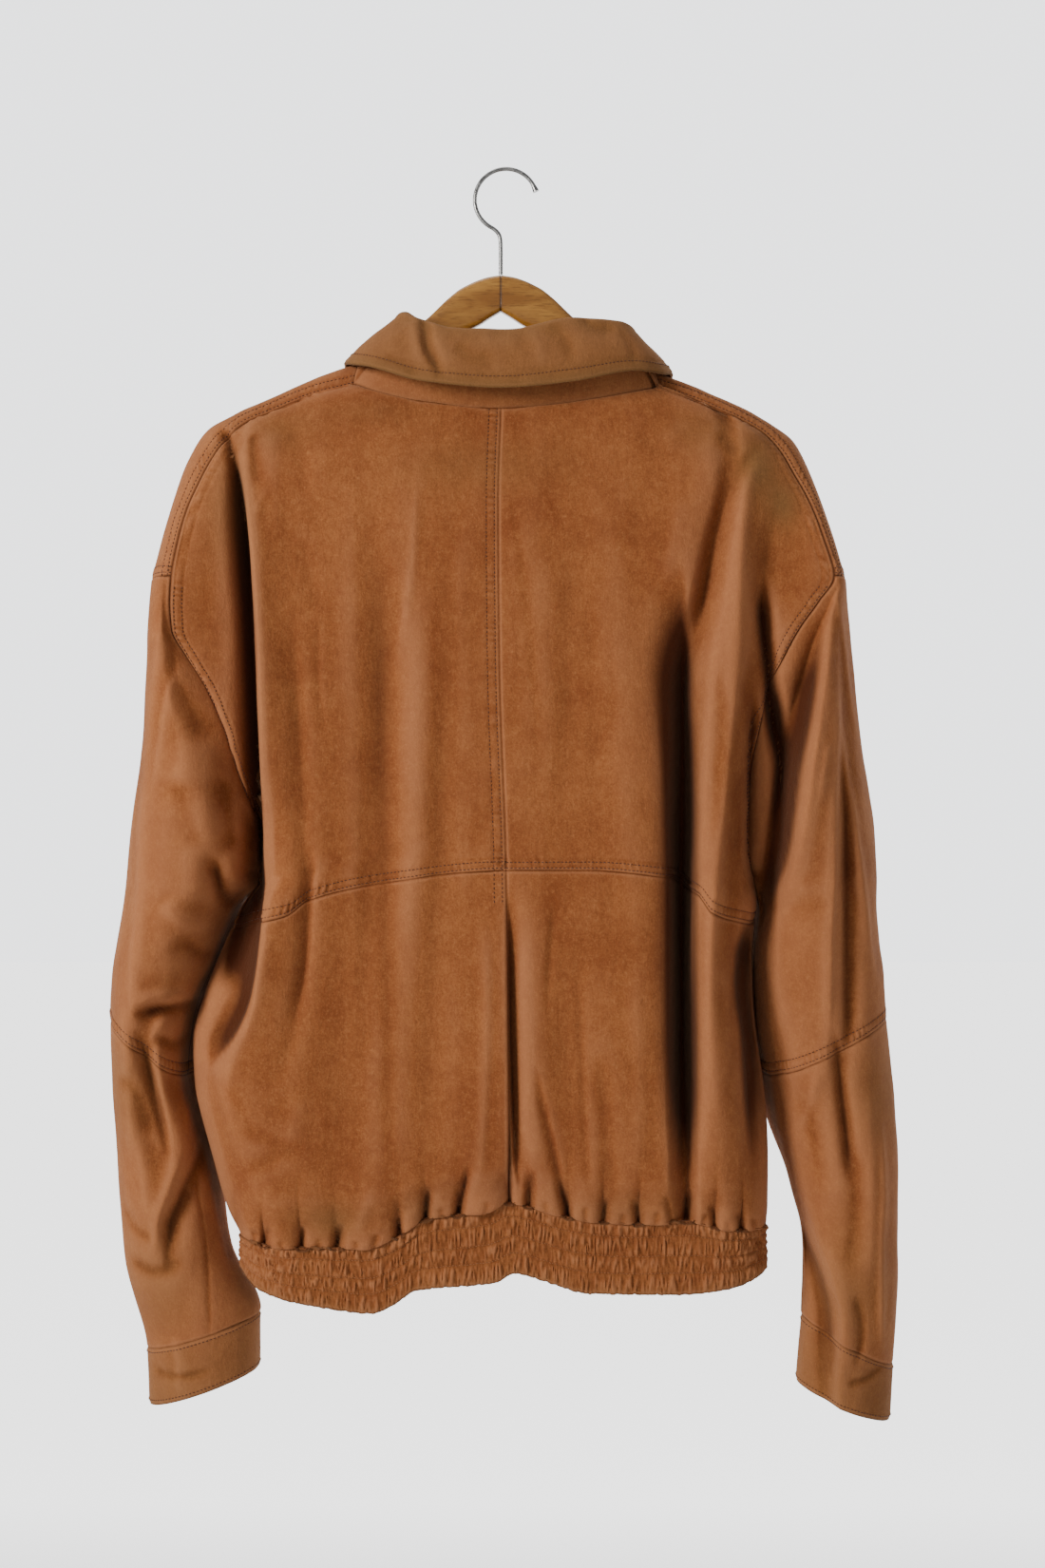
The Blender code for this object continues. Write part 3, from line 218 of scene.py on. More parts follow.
def varnished_wood():
    made, tree, shader = painted("varnished_wood", (0.55, 0.28, 0.08), 0.3)
    place = node(tree, "ShaderNodeTexCoord").outputs["Object"]
    along = node(tree, "ShaderNodeMapping", i3=(14, 90, 60), i0=place).outputs[0]
    figure = node(tree, "ShaderNodeTexNoise", Vector=along, Scale=1.6, Detail=6.0, Roughness=0.55,
                  Distortion=0.6)
    fine = node(tree, "ShaderNodeMapping", i3=(60, 700, 500), i0=place).outputs[0]
    pores = node(tree, "ShaderNodeTexNoise", Vector=fine, Scale=1.5, Detail=4.0)
    tone = node(tree, "ShaderNodeValToRGB", Fac=figure.outputs["Fac"])
    speck = node(tree, "ShaderNodeValToRGB", Fac=pores.outputs["Fac"])
    for ramp, positions, colours in (
        (tone, (0.32, 0.68), ((0.26, 0.10, 0.013, 1), (0.44, 0.205, 0.036, 1))),
        (speck, (0.36, 0.46), ((0.45, 0.40, 0.34, 1), (1, 1, 1, 1))),
    ):
        for stop, position, colour in zip(ramp.color_ramp.elements, positions, colours):
            stop.position, stop.color = position, colour
    both = node(tree, "ShaderNodeMix", {"data_type": "RGBA", "blend_type": "MULTIPLY"}, i0=0.55,
                i6=tone.outputs["Color"], i7=speck.outputs["Color"])
    glue = node(tree, "ShaderNodeAttribute", {"attribute_name": "glue"}).outputs["Fac"]
    whole = node(tree, "ShaderNodeMix", {"data_type": "RGBA"}, i0=glue, i6=both.outputs[2],
                 i7=(0.05, 0.02, 0.008, 1))
    tree.links.new(whole.outputs[2], shader.inputs["Base Color"])
    ripple = node(tree, "ShaderNodeBump", Height=pores.outputs["Fac"], Strength=0.12, Distance=0.0004)
    tree.links.new(ripple.outputs[0], shader.inputs["Normal"])
    shader.inputs["Coat Weight"].default_value = 0.55
    shader.inputs["Coat Roughness"].default_value = 0.16
    return made


def build_hanger():
    wood = varnished_wood()
    turn = 2 * np.pi * (np.arange(ARM_RING) + 0.5) / ARM_RING
    c, s = np.cos(turn), np.sin(turn)
    wide = ARM_HALF_THICKNESS * np.sign(c) * abs(c) ** FLAT_SIDE
    tall = np.sign(s) * abs(s) ** FLAT_TOP
    for side, sign in (("left", -1), ("right", 1)):
        out, drop = zip(*ARM_TOP[side])
        tip = out[-1]
        reach = np.concatenate([[-0.02, 0.5], np.linspace(1.5, tip - 1.5, 110), [tip - 0.5, tip]])
        straight, rounded = np.interp(reach, out, drop), smooth(reach, out, drop)
        top = straight * (1 - ARM_TOP_ROUNDING) + rounded * ARM_TOP_ROUNDING + TOP_EASE
        high = smooth(reach, *zip(*ARM_HEIGHT)) / 2 - HEIGHT_EASE
        close = np.ones(len(reach))
        for place, share in ARM_ENDS.items():
            close[place] = share
        rings = np.empty((len(reach), ARM_RING, 3))
        rings[:, :, 0] = (HANGER_JOINT_X + sign * reach)[:, None]
        rings[:, :, 1] = wide[None, :] * close[:, None]
        rings[:, :, 2] = tall[None, :] * (high * close)[:, None] - (top + high)[:, None]
        index = np.arange(rings[:, :, 0].size).reshape(len(reach), ARM_RING)
        following = np.roll(index, -1, axis=1)
        faces = np.stack([index[:-1], following[:-1], following[1:], index[1:]], axis=2)
        faces = faces.reshape(-1, 4).tolist() + [index[0, ::-1].tolist(), index[-1].tolist()]
        if sign < 0:
            faces = [face[::-1] for face in faces]
        glue = {"glue": np.repeat(np.exp(-((reach / 0.7) ** 2)), ARM_RING)}
        arm = piece("hanger_arm_" + side, rings.reshape(-1, 3), faces, wood, glue)
        arm.data.set_sharp_from_angle(angle=math.radians(60))
        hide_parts("hanger_" + side)
        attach(arm, "root")


build_hanger()

# ---- Hook: one length of plated steel wire, bent to most of a circle and screwed down into the
# glued joint of the arms. It may swivel there, and stays as it hangs.
HOOK_WIRE, HOOK_RADIUS, HOOK_CENTRE_X = 3.2, 24.0, 0.5
HOOK_SHANK = ((-5.2, -48.0), (-3.9, -51.5), (-3.5, -56.0), (-3.5, -68.0), (-3.5, -79.6))
HOOK_BEND = (16, 248)  # degrees round the circle from the tip to the shank
TIP_BEAD = 1.55  # how much thicker than the wire the bead on its tip is


def build_hook():
    steel, tree, shader = painted("plated_wire", (0.33, 0.33, 0.32), 0.34)
    shader.inputs["Metallic"].default_value = 1.0
    place = node(tree, "ShaderNodeTexCoord").outputs["Object"]
    dull = node(tree, "ShaderNodeTexNoise", Vector=place, Scale=260.0, Detail=5.0)
    worn = node(tree, "ShaderNodeMapRange", Value=dull.outputs["Fac"], i1=0.3, i2=0.7, i3=0.22, i4=0.5)
    tree.links.new(worn.outputs[0], shader.inputs["Roughness"])
    tone = node(tree, "ShaderNodeMix", {"data_type": "RGBA"}, i0=dull.outputs["Fac"],
                i6=(0.20, 0.19, 0.18, 1), i7=(0.46, 0.46, 0.45, 1))
    tree.links.new(tone.outputs[2], shader.inputs["Base Color"])
    centre_z = HOOK_WIRE / 2 - HOOK_RADIUS
    bend = np.radians(np.linspace(*HOOK_BEND, 20))
    x, z = HOOK_CENTRE_X + HOOK_RADIUS * np.cos(bend), centre_z + HOOK_RADIUS * np.sin(bend)
    line = [*zip(x, z), *HOOK_SHANK]
    curve = bpy.data.curves.new("hook_wire", "CURVE")
    curve.dimensions = "3D"
    curve.bevel_depth = HOOK_WIRE / 2 * MM
    curve.bevel_resolution = 6
    curve.use_fill_caps = True
    spline = curve.splines.new("NURBS")
    spline.points.add(len(line) - 1)
    for point, (x, z) in zip(spline.points, line):
        point.co = (x * MM, 0, z * MM, 1)
    spline.points[0].radius = TIP_BEAD
    spline.order_u = 3
    spline.use_endpoint_u = True
    spline.resolution_u = 6
    curve.materials.append(steel)
    hook = bpy.data.objects.new("hook_wire", curve)
    bpy.context.scene.collection.objects.link(hook)
    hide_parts("hanger_hook")
    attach(hook, "root")


build_hook()

# ---- Suede of the back: four panels of leather, nap side out, cut in two halves above and two
# below a curved waist seam, and joined down the middle of the back with lapped, topstitched seams.
WALL = 2.0
SIDES = {"left": -1, "right": 1}


def table(names, *rows):
    """Named columns from rows of numbers."""
    return {name: np.array(column, float) for name, column in zip(names.split(), zip(*rows))}


SHOULDER = {
    "left": table(
        "ridge_x ridge_drop seam_x seam_drop depth",
        (-112, 147, -116, 167, 15), (-147, 160, -146, 175, 17), (-178, 174, -172, 186, 20),
        (-206, 187, -197, 198, 24), (-228, 200, -212, 212, 29), (-241, 220, -222, 228, 34),
        (-250, 243, -231, 248, 39), (-260, 277, -241, 276, 45), (-270, 315, -248, 315, 50),
    ),
    "right": table(
        "ridge_x ridge_drop seam_x seam_drop depth",
        (114, 154, 118, 169, 15), (152, 169, 149, 181, 17), (181, 182, 176, 193, 20),
        (203, 195, 196, 206, 24), (220, 208, 208, 220, 29), (230, 226, 218, 238, 34),
        (238, 247, 227, 256, 39), (249, 280, 237, 284, 45), (259, 315, 245, 315, 50),
    ),
}
ARMHOLE_DROP = (335, 355, 375, 400, 430, 465, 505, 530, 545)
ARMHOLE_DEPTH = (50, 49, 47, 44, 39, 33, 24, 15, 0)
ARMHOLE_X = {
    "left": (-249, -248, -238, -223, -210, -200, -188, -187, -190),
    "right": (233, 219, 208, 198, 191, 185, 184, 186, 190),
}
SIDE_EDGE = {
    "left": table(
        "drop x", (545, -190), (580, -209), (605, -220), (625, -228), (640, -233.5), (661, -238.5),
        (680, -240), (705, -235.5), (729, -230.5), (761, -222), (798, -211), (813, -203),
    ),
    "right": table(
        "drop x", (545, 190), (560, 190.5), (576, 190), (602, 188.5), (635, 190), (665, 193),
        (704, 198.5), (744, 201), (788, 201.5), (806, 200),
    ),
}
WAIST_SIDE_DROP = {"left": 580, "right": 576}
HEM_SIDE_DROP = {"left": 813, "right": 806}
LOWER_ROWS = (0, 0.1, 0.22, 0.36, 0.5, 0.64, 0.76, 0.86, 0.935, 1)
BODY = table(
    "drop back front reach",
    (147, 30, 28, 90), (188, 36, 31, 90), (230, 43, 37, 90), (315, 52, 52, 80), (400, 58, 54, 60),
    (545, 63, 55, 42), (640, 64, 57, 42), (720, 63, 57, 48), (775, 58, 52, 50), (800, 48, 45, 45),
    (820, 43, 40, 45), (866, 41, 38, 45),
)
BAND_TOP_DROP, HEM_SHAPE_START, FOLD_SOFTENING = 815, 690, 8.0
NECK_BACK = table(
    "x drop", (-116, 167), (-98, 174), (-60, 183), (-5, 188), (35, 185), (74, 179), (118, 169)
)
WAIST = table(
    "x drop", (-203, 580), (-180, 572), (-160, 567), (-146, 557), (-92, 544), (0, 534),
    (60, 534), (122, 540), (143, 553), (152, 565), (184, 576),
)
HEM_BACK = table(
    "x drop", (-203, 813), (-167, 817), (-106, 817), (-79, 808), (-61, 796), (-12, 789),
    (2, 783), (18, 786), (48, 794), (97, 799), (136, 797), (165, 803), (200, 806),
)
HEM_FRONT = table("x drop", (-203, 813), (-120, 806), (0, 800), (120, 804), (200, 806))
CENTRE_BACK = table("drop x", (188, -3), (260, -5), (380, -4), (535, 1), (790, 3))
NECK_DIP_FADE, NECK_SHARE, WAIST_SHARE = 150, 0.2, 0.45
BACK_PINCHES = (-203, -181, -153, -126, -79, -60, -35, 3, 17, 47, 73, 100, 136, 157, 177, 200)
FRONT_PINCHES = tuple(range(-200, 201, 25))
PUFF_RISE, PINCH_SINK, PUFF_HEIGHT = 6.4, 5.0, 6.0
PUFF_SAG, SAG_HEIGHT = 2.6, 8
PUFF_ROUNDING, PUFF_UNEVEN, PUFF_BEAT = 0.5, 0.2, 2.4  # broad tops of uneven height
PUFF_SWELL = 0.55  # a smaller power swells sooner over the seam and dies away more slowly

# Folds of the back from the side to the centre: where each runs at eight drops, and how far it
# stands out (+) or sinks in (-) there.
FOLD_DROPS = (250, 320, 400, 500, 560, 620, 690, 805)
BACK_FOLDS = {
    "left": (
        ((-203, -196, -190, -185, -187, -204, -222, -181), (-3, -12, -16, -8, -4, -18, -5, 0)),
        ((-193, -184, -179, -178, -178, -184, -203, -167), (3, 7, 9, 9, 9, 8, 5, 0)),
        ((-165, -156, -152, -151, -150, -152, -160, -153), (1, 2, 3, 4, 4, 4, 4, 0)),
        ((-112, -102, -98, -100, -104, -110, -118, -126), (0, -3, -6, -7, -7, -5, -3, 0)),
        ((-70, -66, -65, -67, -70, -74, -78, -79), (1, 3, 4, 4, 3, 3, 3, 0)),
        ((-48, -46, -45, -46, -50, -54, -58, -60), (0, 1, 0, -1, -1, 0, 0, 0)),
        ((-26, -24, -24, -25, -28, -30, -33, -35), (0, 0, 0, 0, 0, 1, 2, 0)),
        ((-5, -5, -4, -1, 1, 2, 3, 3), (0, 0, 0, 0, 0, 3, 4, 0)),
    ),
    "right": (
        ((208, 194, 188, 178, 171, 170, 169, 177), (0, -8, -6, -3, -2, -2, 0, 0)),
        ((192, 180, 171, 163, 157, 156, 156, 157), (2, 3, 4, 4, 4, 3, 2, 0)),
        ((179, 167, 156, 147, 144, 143, 143, 146), (5, 6, 7, 6, 5, 3, 2, 0)),
        ((167, 152, 136, 134, 134, 134, 134, 135), (-2, -7, -14, -24, -29, -30, -26, -8)),
        ((155, 137, 120, 120, 121, 121, 121, 119), (2, 3, 4, 5, 6, 6, 5, 0)),
        ((118, 107, 97, 97, 98, 99, 100, 100), (0, 1, 2, 3, 3, 3, 2, 0)),
        ((82, 76, 72, 72, 72, 72, 73, 73), (0, 0, 0, 0, 0, 1, 2, 0)),
        ((50, 48, 46, 46, 46, 46, 47, 47), (0, -1, -2, -1, 0, -1, -2, 0)),
        ((20, 18, 17, 17, 17, 17, 18, 17), (0, 1, 1, 1, 2, 3, 3, 0)),
        ((-5, -5, -4, -1, 1, 2, 3, 3), (0, 0, 0, 0, 0, -4, -5, 0)),
    ),
}
FRONT_EDGE = 16
FRONT_FOLDS = {
    "left": (
        ((-205, -196, -186, -180, -180, -190, -196, -183), (0, -5, -9, -10, -10, -8, -5, 0)),
        ((-188, -176, -166, -162, -160, -164, -170, -164), (2, 4, 5, 6, 6, 5, 3, 0)),
        ((-120, -112, -108, -108, -108, -110, -112, -112), (0, -3, -5, -6, -6, -5, -3, 0)),
        ((-64, -60, -60, -62, -62, -63, -64, -64), (0, 1, 3, 4, 4, 4, 3, 0)),
        ((-32,) * 8, (0,) * 8),
        ((FRONT_EDGE,) * 8, (0,) * 8),
    ),
    "right": (
        ((204, 194, 180, 172, 170, 168, 168, 176), (0, -5, -9, -12, -12, -10, -8, 0)),
        ((186, 174, 160, 152, 150, 149, 150, 156), (2, 4, 5, 6, 6, 5, 3, 0)),
        ((118, 110, 104, 104, 104, 104, 106, 108), (0, -3, -5, -6, -6, -5, -3, 0)),
        ((62, 58, 58, 60, 60, 61, 62, 62), (0, 1, 3, 4, 4, 4, 3, 0)),
        ((32,) * 8, (0,) * 8),
        ((-FRONT_EDGE,) * 8, (0,) * 8),
    ),
}
LEAST_FOLD_STEP = 1.5
BUTTON_STAND = 22
UNDERARM_DROP, UNDERARM_FULLNESS = 545, 2.6
# The edge of a body panel is counted in stations: the rows of the strip, the armhole and the side
# seam in the tables above, one after the other.
STRIP_END, WAIST_STATION, HEM_STATION = 8, 18, 27
RAIL_FINENESS = 12  # samples of the edge between two stations
STATION_LENGTH = {  # roughly, in millimetres
    "strip end": 38, "armhole top": 20, "above waist": 32, "below waist": 24, "hem": 15,
}


def rail(side):
    """The side of a body panel, finely sampled: strip seam, armhole, then the side seam."""
    strip, edge = SHOULDER[side], SIDE_EDGE[side]
    waist, hem = WAIST_SIDE_DROP[side], HEM_SIDE_DROP[side]
    below = waist + (hem - waist) * np.array(LOWER_ROWS)
    drop = np.concatenate([strip["seam_drop"], ARMHOLE_DROP, below])
    x = np.concatenate([strip["seam_x"], ARMHOLE_X[side], smooth(below, edge["drop"], edge["x"])])
    depth = np.concatenate([strip["depth"], ARMHOLE_DEPTH, np.zeros(len(below))])
    station = np.arange(len(drop))
    fine = np.linspace(0, len(drop) - 1, (len(drop) - 1) * RAIL_FINENESS + 1)
    drop, x = smooth(fine, station, drop), smooth(fine, station, x)
    under = np.clip((drop - UNDERARM_DROP) / (waist - UNDERARM_DROP), 0, 1)
    x = x + SIDES[side] * UNDERARM_FULLNESS * np.sin(np.pi * under)
    return fine, drop, x, smooth(fine, station, depth)


RAILS = {side: rail(side) for side in SIDES}


def body_depth(side, front, drop, x, folded=True):
    """Depth of the cloth from the garment's middle plane; drop and x are arrays of one shape."""
    sign = SIDES[side]
    _, rail_drop, rail_x, rail_depth = RAILS[side]
    edge_x = np.interp(drop, rail_drop, rail_x)
    edge_depth = np.interp(drop, rail_drop, rail_depth)
    hem = HEM_FRONT if front else HEM_BACK
    hem_drop = smooth(x, hem["x"], hem["drop"])
    near_hem = np.clip((drop - HEM_SHAPE_START) / (hem_drop - HEM_SHAPE_START), 0, 1)
    level = drop + (BAND_TOP_DROP - hem_drop) * near_hem
    full = smooth(level, BODY["drop"], BODY["front" if front else "back"])
    reach = smooth(level, BODY["drop"], BODY["reach"])
    inward = np.clip((edge_x - x) * sign / reach, 0, 1)
    depth = edge_depth + (full - edge_depth) * np.sqrt(1 - (1 - inward) ** 2)
    if not folded:
        return depth
    lines = (FRONT_FOLDS if front else BACK_FOLDS)[side]
    knots, heights = [-sign * edge_x], [np.zeros_like(x)]
    for line_x, line_rise in lines:
        at = -sign * smooth(np.maximum(drop, FOLD_DROPS[0]), FOLD_DROPS, line_x)
        knots.append(np.maximum(at, knots[-1] + LEAST_FOLD_STEP))
        heights.append(smooth(drop, FOLD_DROPS, line_rise))
    rise = smooth(-sign * x, knots, heights)
    rise += gathers(x, hem_drop - drop, front)
    return depth + rise * depth / (depth + FOLD_SOFTENING)


def lobes(x, front):
    """0 where the elastic pinches the cloth, and up to 1 in the puffs between."""
    pinches = FRONT_PINCHES if front else BACK_PINCHES
    station = np.interp(x, pinches, np.arange(len(pinches)))
    uneven = PUFF_UNEVEN * np.sin(PUFF_BEAT * np.floor(station))
    return abs(np.sin(math.pi * station)) ** PUFF_ROUNDING * (1 - PUFF_UNEVEN + uneven)


def off_button_stand(x):
    """0 over the button stand, which lies flat, and 1 beyond it."""
    return np.clip(abs(x) / BUTTON_STAND - 1, 0, 1)


def gathers(x, above_hem, front):
    """Puffs of cloth that swell over the seam of the waistband."""
    lobe = lobes(x, front)
    height = np.clip(above_hem, 0, None) / PUFF_HEIGHT
    fade = height**PUFF_SWELL * np.exp(PUFF_SWELL * (1 - height))
    if front:
        fade = fade * off_button_stand(x)
    return fade * (PUFF_RISE * lobe - PINCH_SINK * (1 - lobe))


# Distances from a sewn edge at which the cloth always has points, so that its rolled edge and
# the two rows of topstitching come out crisp.
NEAR_SEAM = np.array((0, 0.6, 1.4, 2.2, 3.0, 3.8, 5.0, 6.5, 8.0, 9.0, 10.0, 12.0, 14.5))
CLOSER_AT_FOLD, CLOSE_WITHIN = 2.4, 15.0  # extra points for each one at a fold, and how far out


def across(width, count, end=True, focus=()):
    """Shares of a row of that width: fixed distances near its ends, and in between even steps
    that draw closer round each focus, a distance from the start where a sharp fold runs."""
    first = NEAR_SEAM / width
    last = 1 - first[::-1] if end else np.array([1.0])
    fine = np.linspace(first[-1], last[0], 500)
    extra = 0 * fine
    for at in focus:
        extra += CLOSER_AT_FOLD * np.exp(-(((fine * width - at) / CLOSE_WITHIN) ** 2))
    dense = 1 + extra
    run = np.concatenate([[0], np.cumsum((dense[1:] + dense[:-1]) / 2)])
    middle = np.interp(np.linspace(0, run[-1], count + 2)[1:-1], run, fine)
    return np.concatenate([first, middle, last])


# Where the sharpest folds of each half run, so that points lie close together there.
SHARP_FOLDS = {
    "left": table(
        "drop x", (200, -203), (250, -200), (320, -190), (400, -184), (500, -181), (560, -181),
        (620, -188), (660, -200), (700, -205), (800, -190),
    ),
    "right": table(
        "drop x", (200, 196), (230, 178), (260, 166), (300, 156), (360, 142), (420, 134),
        (500, 131), (800, 132),
    ),
}
SECOND_FOLDS = {
    "left": table("drop x", (200, -150), (400, -152), (560, -148), (800, -160)),
    "right": table(
        "drop x", (200, 204), (320, 194), (400, 199), (440, 201), (560, 186), (640, 188), (800, 193)
    ),
}
TOP_STATIONS = (0, 0.04, 0.1, 0.2, 0.35)
UPPER_STATIONS = np.concatenate([
    TOP_STATIONS, np.linspace(0.5, 17.55, 138),
    WAIST_STATION - NEAR_SEAM[:-1][::-1] / STATION_LENGTH["above waist"],
])
LOWER_STATIONS = np.concatenate([
    WAIST_STATION + NEAR_SEAM[:-1] / STATION_LENGTH["below waist"],
    np.linspace(18.6, 24.9, 52), np.linspace(25, 26.85, 36),
    HEM_STATION - np.array((1.6, 0.9, 0.4, 0)) / STATION_LENGTH["hem"],
])
UPPER_COLUMNS, LOWER_COLUMNS = 116, 176


def back_rows(side, upper):
    """Grid of points of one back panel, rows down it and columns from the side to the centre."""
    fine, drops, xs, _ = RAILS[side]
    waist_edge = np.interp(WAIST_STATION, fine, drops)
    station = UPPER_STATIONS if upper else LOWER_STATIONS
    edge_drop = np.interp(station, fine, drops)[:, None]
    edge_x = np.interp(station, fine, xs)[:, None]
    neck = NECK_BACK["drop"]
    if upper:
        down = (edge_drop - drops[0]) / (waist_edge - drops[0])
        dip = neck.max() - neck[0]
        centre = edge_drop + dip * np.maximum(0, 1 - (edge_drop - neck[0]) / NECK_DIP_FADE) ** 1.5
        centre_waist = smooth(0, WAIST["x"], WAIST["drop"])
        centre_top = centre[0, 0]
        centre = centre + (centre_waist - waist_edge) * down**3
    else:
        lower = smooth(station, WAIST_STATION + np.arange(len(LOWER_ROWS)), LOWER_ROWS)[:, None]
        centre = WAIST["drop"].min() + (HEM_BACK["drop"].min() - WAIST["drop"].min()) * lower
    centre_x = smooth(centre, CENTRE_BACK["drop"], CENTRE_BACK["x"])
    sharp, second = (
        smooth(edge_drop[:, 0], folds[side]["drop"], folds[side]["x"])
        for folds in (SHARP_FOLDS, SECOND_FOLDS)
    )
    columns = UPPER_COLUMNS if upper else LOWER_COLUMNS
    share = np.array([
        across(abs(to - start), columns, focus=(abs(at - start), abs(too - start)))
        for to, start, at, too in zip(centre_x[:, 0], edge_x[:, 0], sharp, second)
    ])
    x = edge_x + share * (centre_x - edge_x)
    if upper:
        drop = edge_drop + share * (centre - edge_drop)
        centre_top_x, centre_waist_x = CENTRE_BACK["x"][[0, 3]]
        top_x = xs[0] + share * (centre_top_x - xs[0])
        waist_x = np.interp(WAIST_STATION, fine, xs)
        waist_x = waist_x + share * (centre_waist_x - waist_x)
        top_bow = smooth(top_x, NECK_BACK["x"], neck) - (drops[0] + share * (centre_top - drops[0]))
        waist_bow = smooth(waist_x, WAIST["x"], WAIST["drop"])
        waist_bow = waist_bow - (waist_edge + share * (centre_waist - waist_edge))
        drop = drop + np.maximum(0, 1 - down / NECK_SHARE) * top_bow
        drop = drop + np.maximum(0, 1 - (1 - down) / WAIST_SHARE) * waist_bow
    else:
        waist = smooth(x, WAIST["x"], WAIST["drop"])
        hem = smooth(x, HEM_BACK["x"], HEM_BACK["drop"])
        drop = waist + (hem - waist) * lower
    y = -body_depth(side, False, drop, x)
    if not upper:
        sag = np.sin(np.pi * np.clip((hem - drop) / SAG_HEIGHT, 0, 1) ** 0.6)
        drop = drop + PUFF_SAG * lobes(x, False) * sag
    return np.stack([x, y, -drop], axis=2)


BAND_TURN_IN = 2.6


def onto_band(grid, side):
    """Turns the last few millimetres of the back in to the waistband's seam."""
    grid = grid.copy()
    x, drop = grid[-1, :, 0], -grid[-1, :, 2]
    seam = -body_depth(side, False, drop, x, folded=False)
    fade = np.exp(-((from_edges(grid)["bottom"] / BAND_TURN_IN) ** 2))
    grid[:, :, 1] += (seam - grid[-1, :, 1])[None] * fade
    return grid


def outward(grid, wrap=False):
    """Unit normals of a grid of points; wrap is for a tube whose last column is its first."""
    down = np.gradient(grid, axis=0)
    along = np.gradient(grid, axis=1)
    if wrap:
        along[:, 0] = along[:, -1] = (grid[:, 1] - grid[:, -2]) / 2
    normal = np.cross(down, along)
    return normal / np.maximum(np.linalg.norm(normal, axis=2, keepdims=True), 1e-9)


def from_edges(grid):
    """Distance of each point from the first and last row, and from the first and last column."""
    down = np.linalg.norm(np.diff(grid, axis=0), axis=2)
    along = np.linalg.norm(np.diff(grid, axis=1), axis=2)
    down = np.concatenate([np.zeros((1, grid.shape[1])), np.cumsum(down, axis=0)])
    along = np.concatenate([np.zeros((grid.shape[0], 1)), np.cumsum(along, axis=1)], axis=1)
    return {"top": down, "bottom": down[-1:] - down, "start": along, "end": along[:, -1:] - along}


# A sewn edge: how far its last points roll under and reach past the seam, and how far the cloth
# sinks along each row of stitches and puckers between the rows.
ROLL, ROLL_REACH, TURN_IN = 0.8, 1.1, 0.55
STITCH_ROWS = (3.0, 9.0)
GROOVE, GROOVE_REACH = 0.45, 0.9
PUCKER, PUCKER_MIDDLE, PUCKER_REACH = 0.8, 6, 3.6
PUCKER_LENGTH, PUCKER_DRIFT, PUCKER_SWELL = 0.85, 9.0, 5.3
EDGE_POINTS = {  # the last and the last but two points at each edge
    "top": ((0,), (2,)),
    "bottom": ((-1,), (-3,)),
    "start": ((slice(None), 0), (slice(None), 2)),
    "end": ((slice(None), -1), (slice(None), -3)),
}


def sewn(grid, normal, rolled, stitched=()):
    """Rolls the cloth under at its sewn edges and sinks it a little along each row of stitches."""
    away = from_edges(grid)
    lower = np.zeros(grid.shape[:2])
    grid = grid.copy()
    for edge in rolled:
        lower = np.maximum(lower, ROLL * np.exp(-((away[edge] / ROLL_REACH) ** 2)))
        outer, next_in = EDGE_POINTS[edge]
        step = grid[outer] - grid[next_in]
        length = np.maximum(np.linalg.norm(step, axis=1, keepdims=True), 1e-9)
        grid[outer] += TURN_IN * step / length
    for edge in stitched:
        run = away["start" if edge in ("top", "bottom") else "top"]
        for row in STITCH_ROWS:
            lower += GROOVE * np.exp(-(((away[edge] - row) / GROOVE_REACH) ** 2))
        drift = 1.7 * np.sin(run / PUCKER_DRIFT)
        swell = 0.6 + 0.4 * np.sin(run / PUCKER_SWELL + 0.8)
        ripple = np.sin(run / PUCKER_LENGTH + drift) * swell
        between = np.exp(-(((away[edge] - PUCKER_MIDDLE) / PUCKER_REACH) ** 2))
        lower += PUCKER * ripple * between
    return grid - normal * lower[:, :, None]


def blurred(field, length):
    """The field averaged over that length of cloth along rows and columns."""
    for axis in (0, 1):
        step = np.linalg.norm(np.diff(field, axis=axis), axis=2).mean()
        reach = max(1, int(round(length / 2 / step)))
        padded = np.concatenate(
            [np.repeat(np.take(field, [0], axis), reach, axis), field,
             np.repeat(np.take(field, [-1], axis), reach + 1, axis)], axis=axis,
        )
        total = np.cumsum(padded, axis=axis)
        n = field.shape[axis]
        upper = np.take(total, np.arange(n) + 2 * reach, axis)
        lower = np.take(total, np.maximum(np.arange(n) - 1, 0), axis)
        lower[(0,) if axis == 0 else (slice(None), 0)] = 0
        field = (upper - lower) / (2 * reach + 1)
    return field


def polyline(points, count=26):
    """A rounded line through a few points."""
    points = np.asarray(points, float)
    station = np.arange(len(points))
    fine = np.linspace(0, len(points) - 1, count)
    return np.stack([smooth(fine, station, points[:, i]) for i in (0, 1)], axis=1)


CREASE_SHARPNESS = 1.7  # 2 is a round trough, less comes to more of an edge
CREASE_FADES_IN, CREASE_FADES_OUT = 0.22, 0.3  # shares of its length
CREASE_END_FADE = 20
FACING_FADE = 3.5


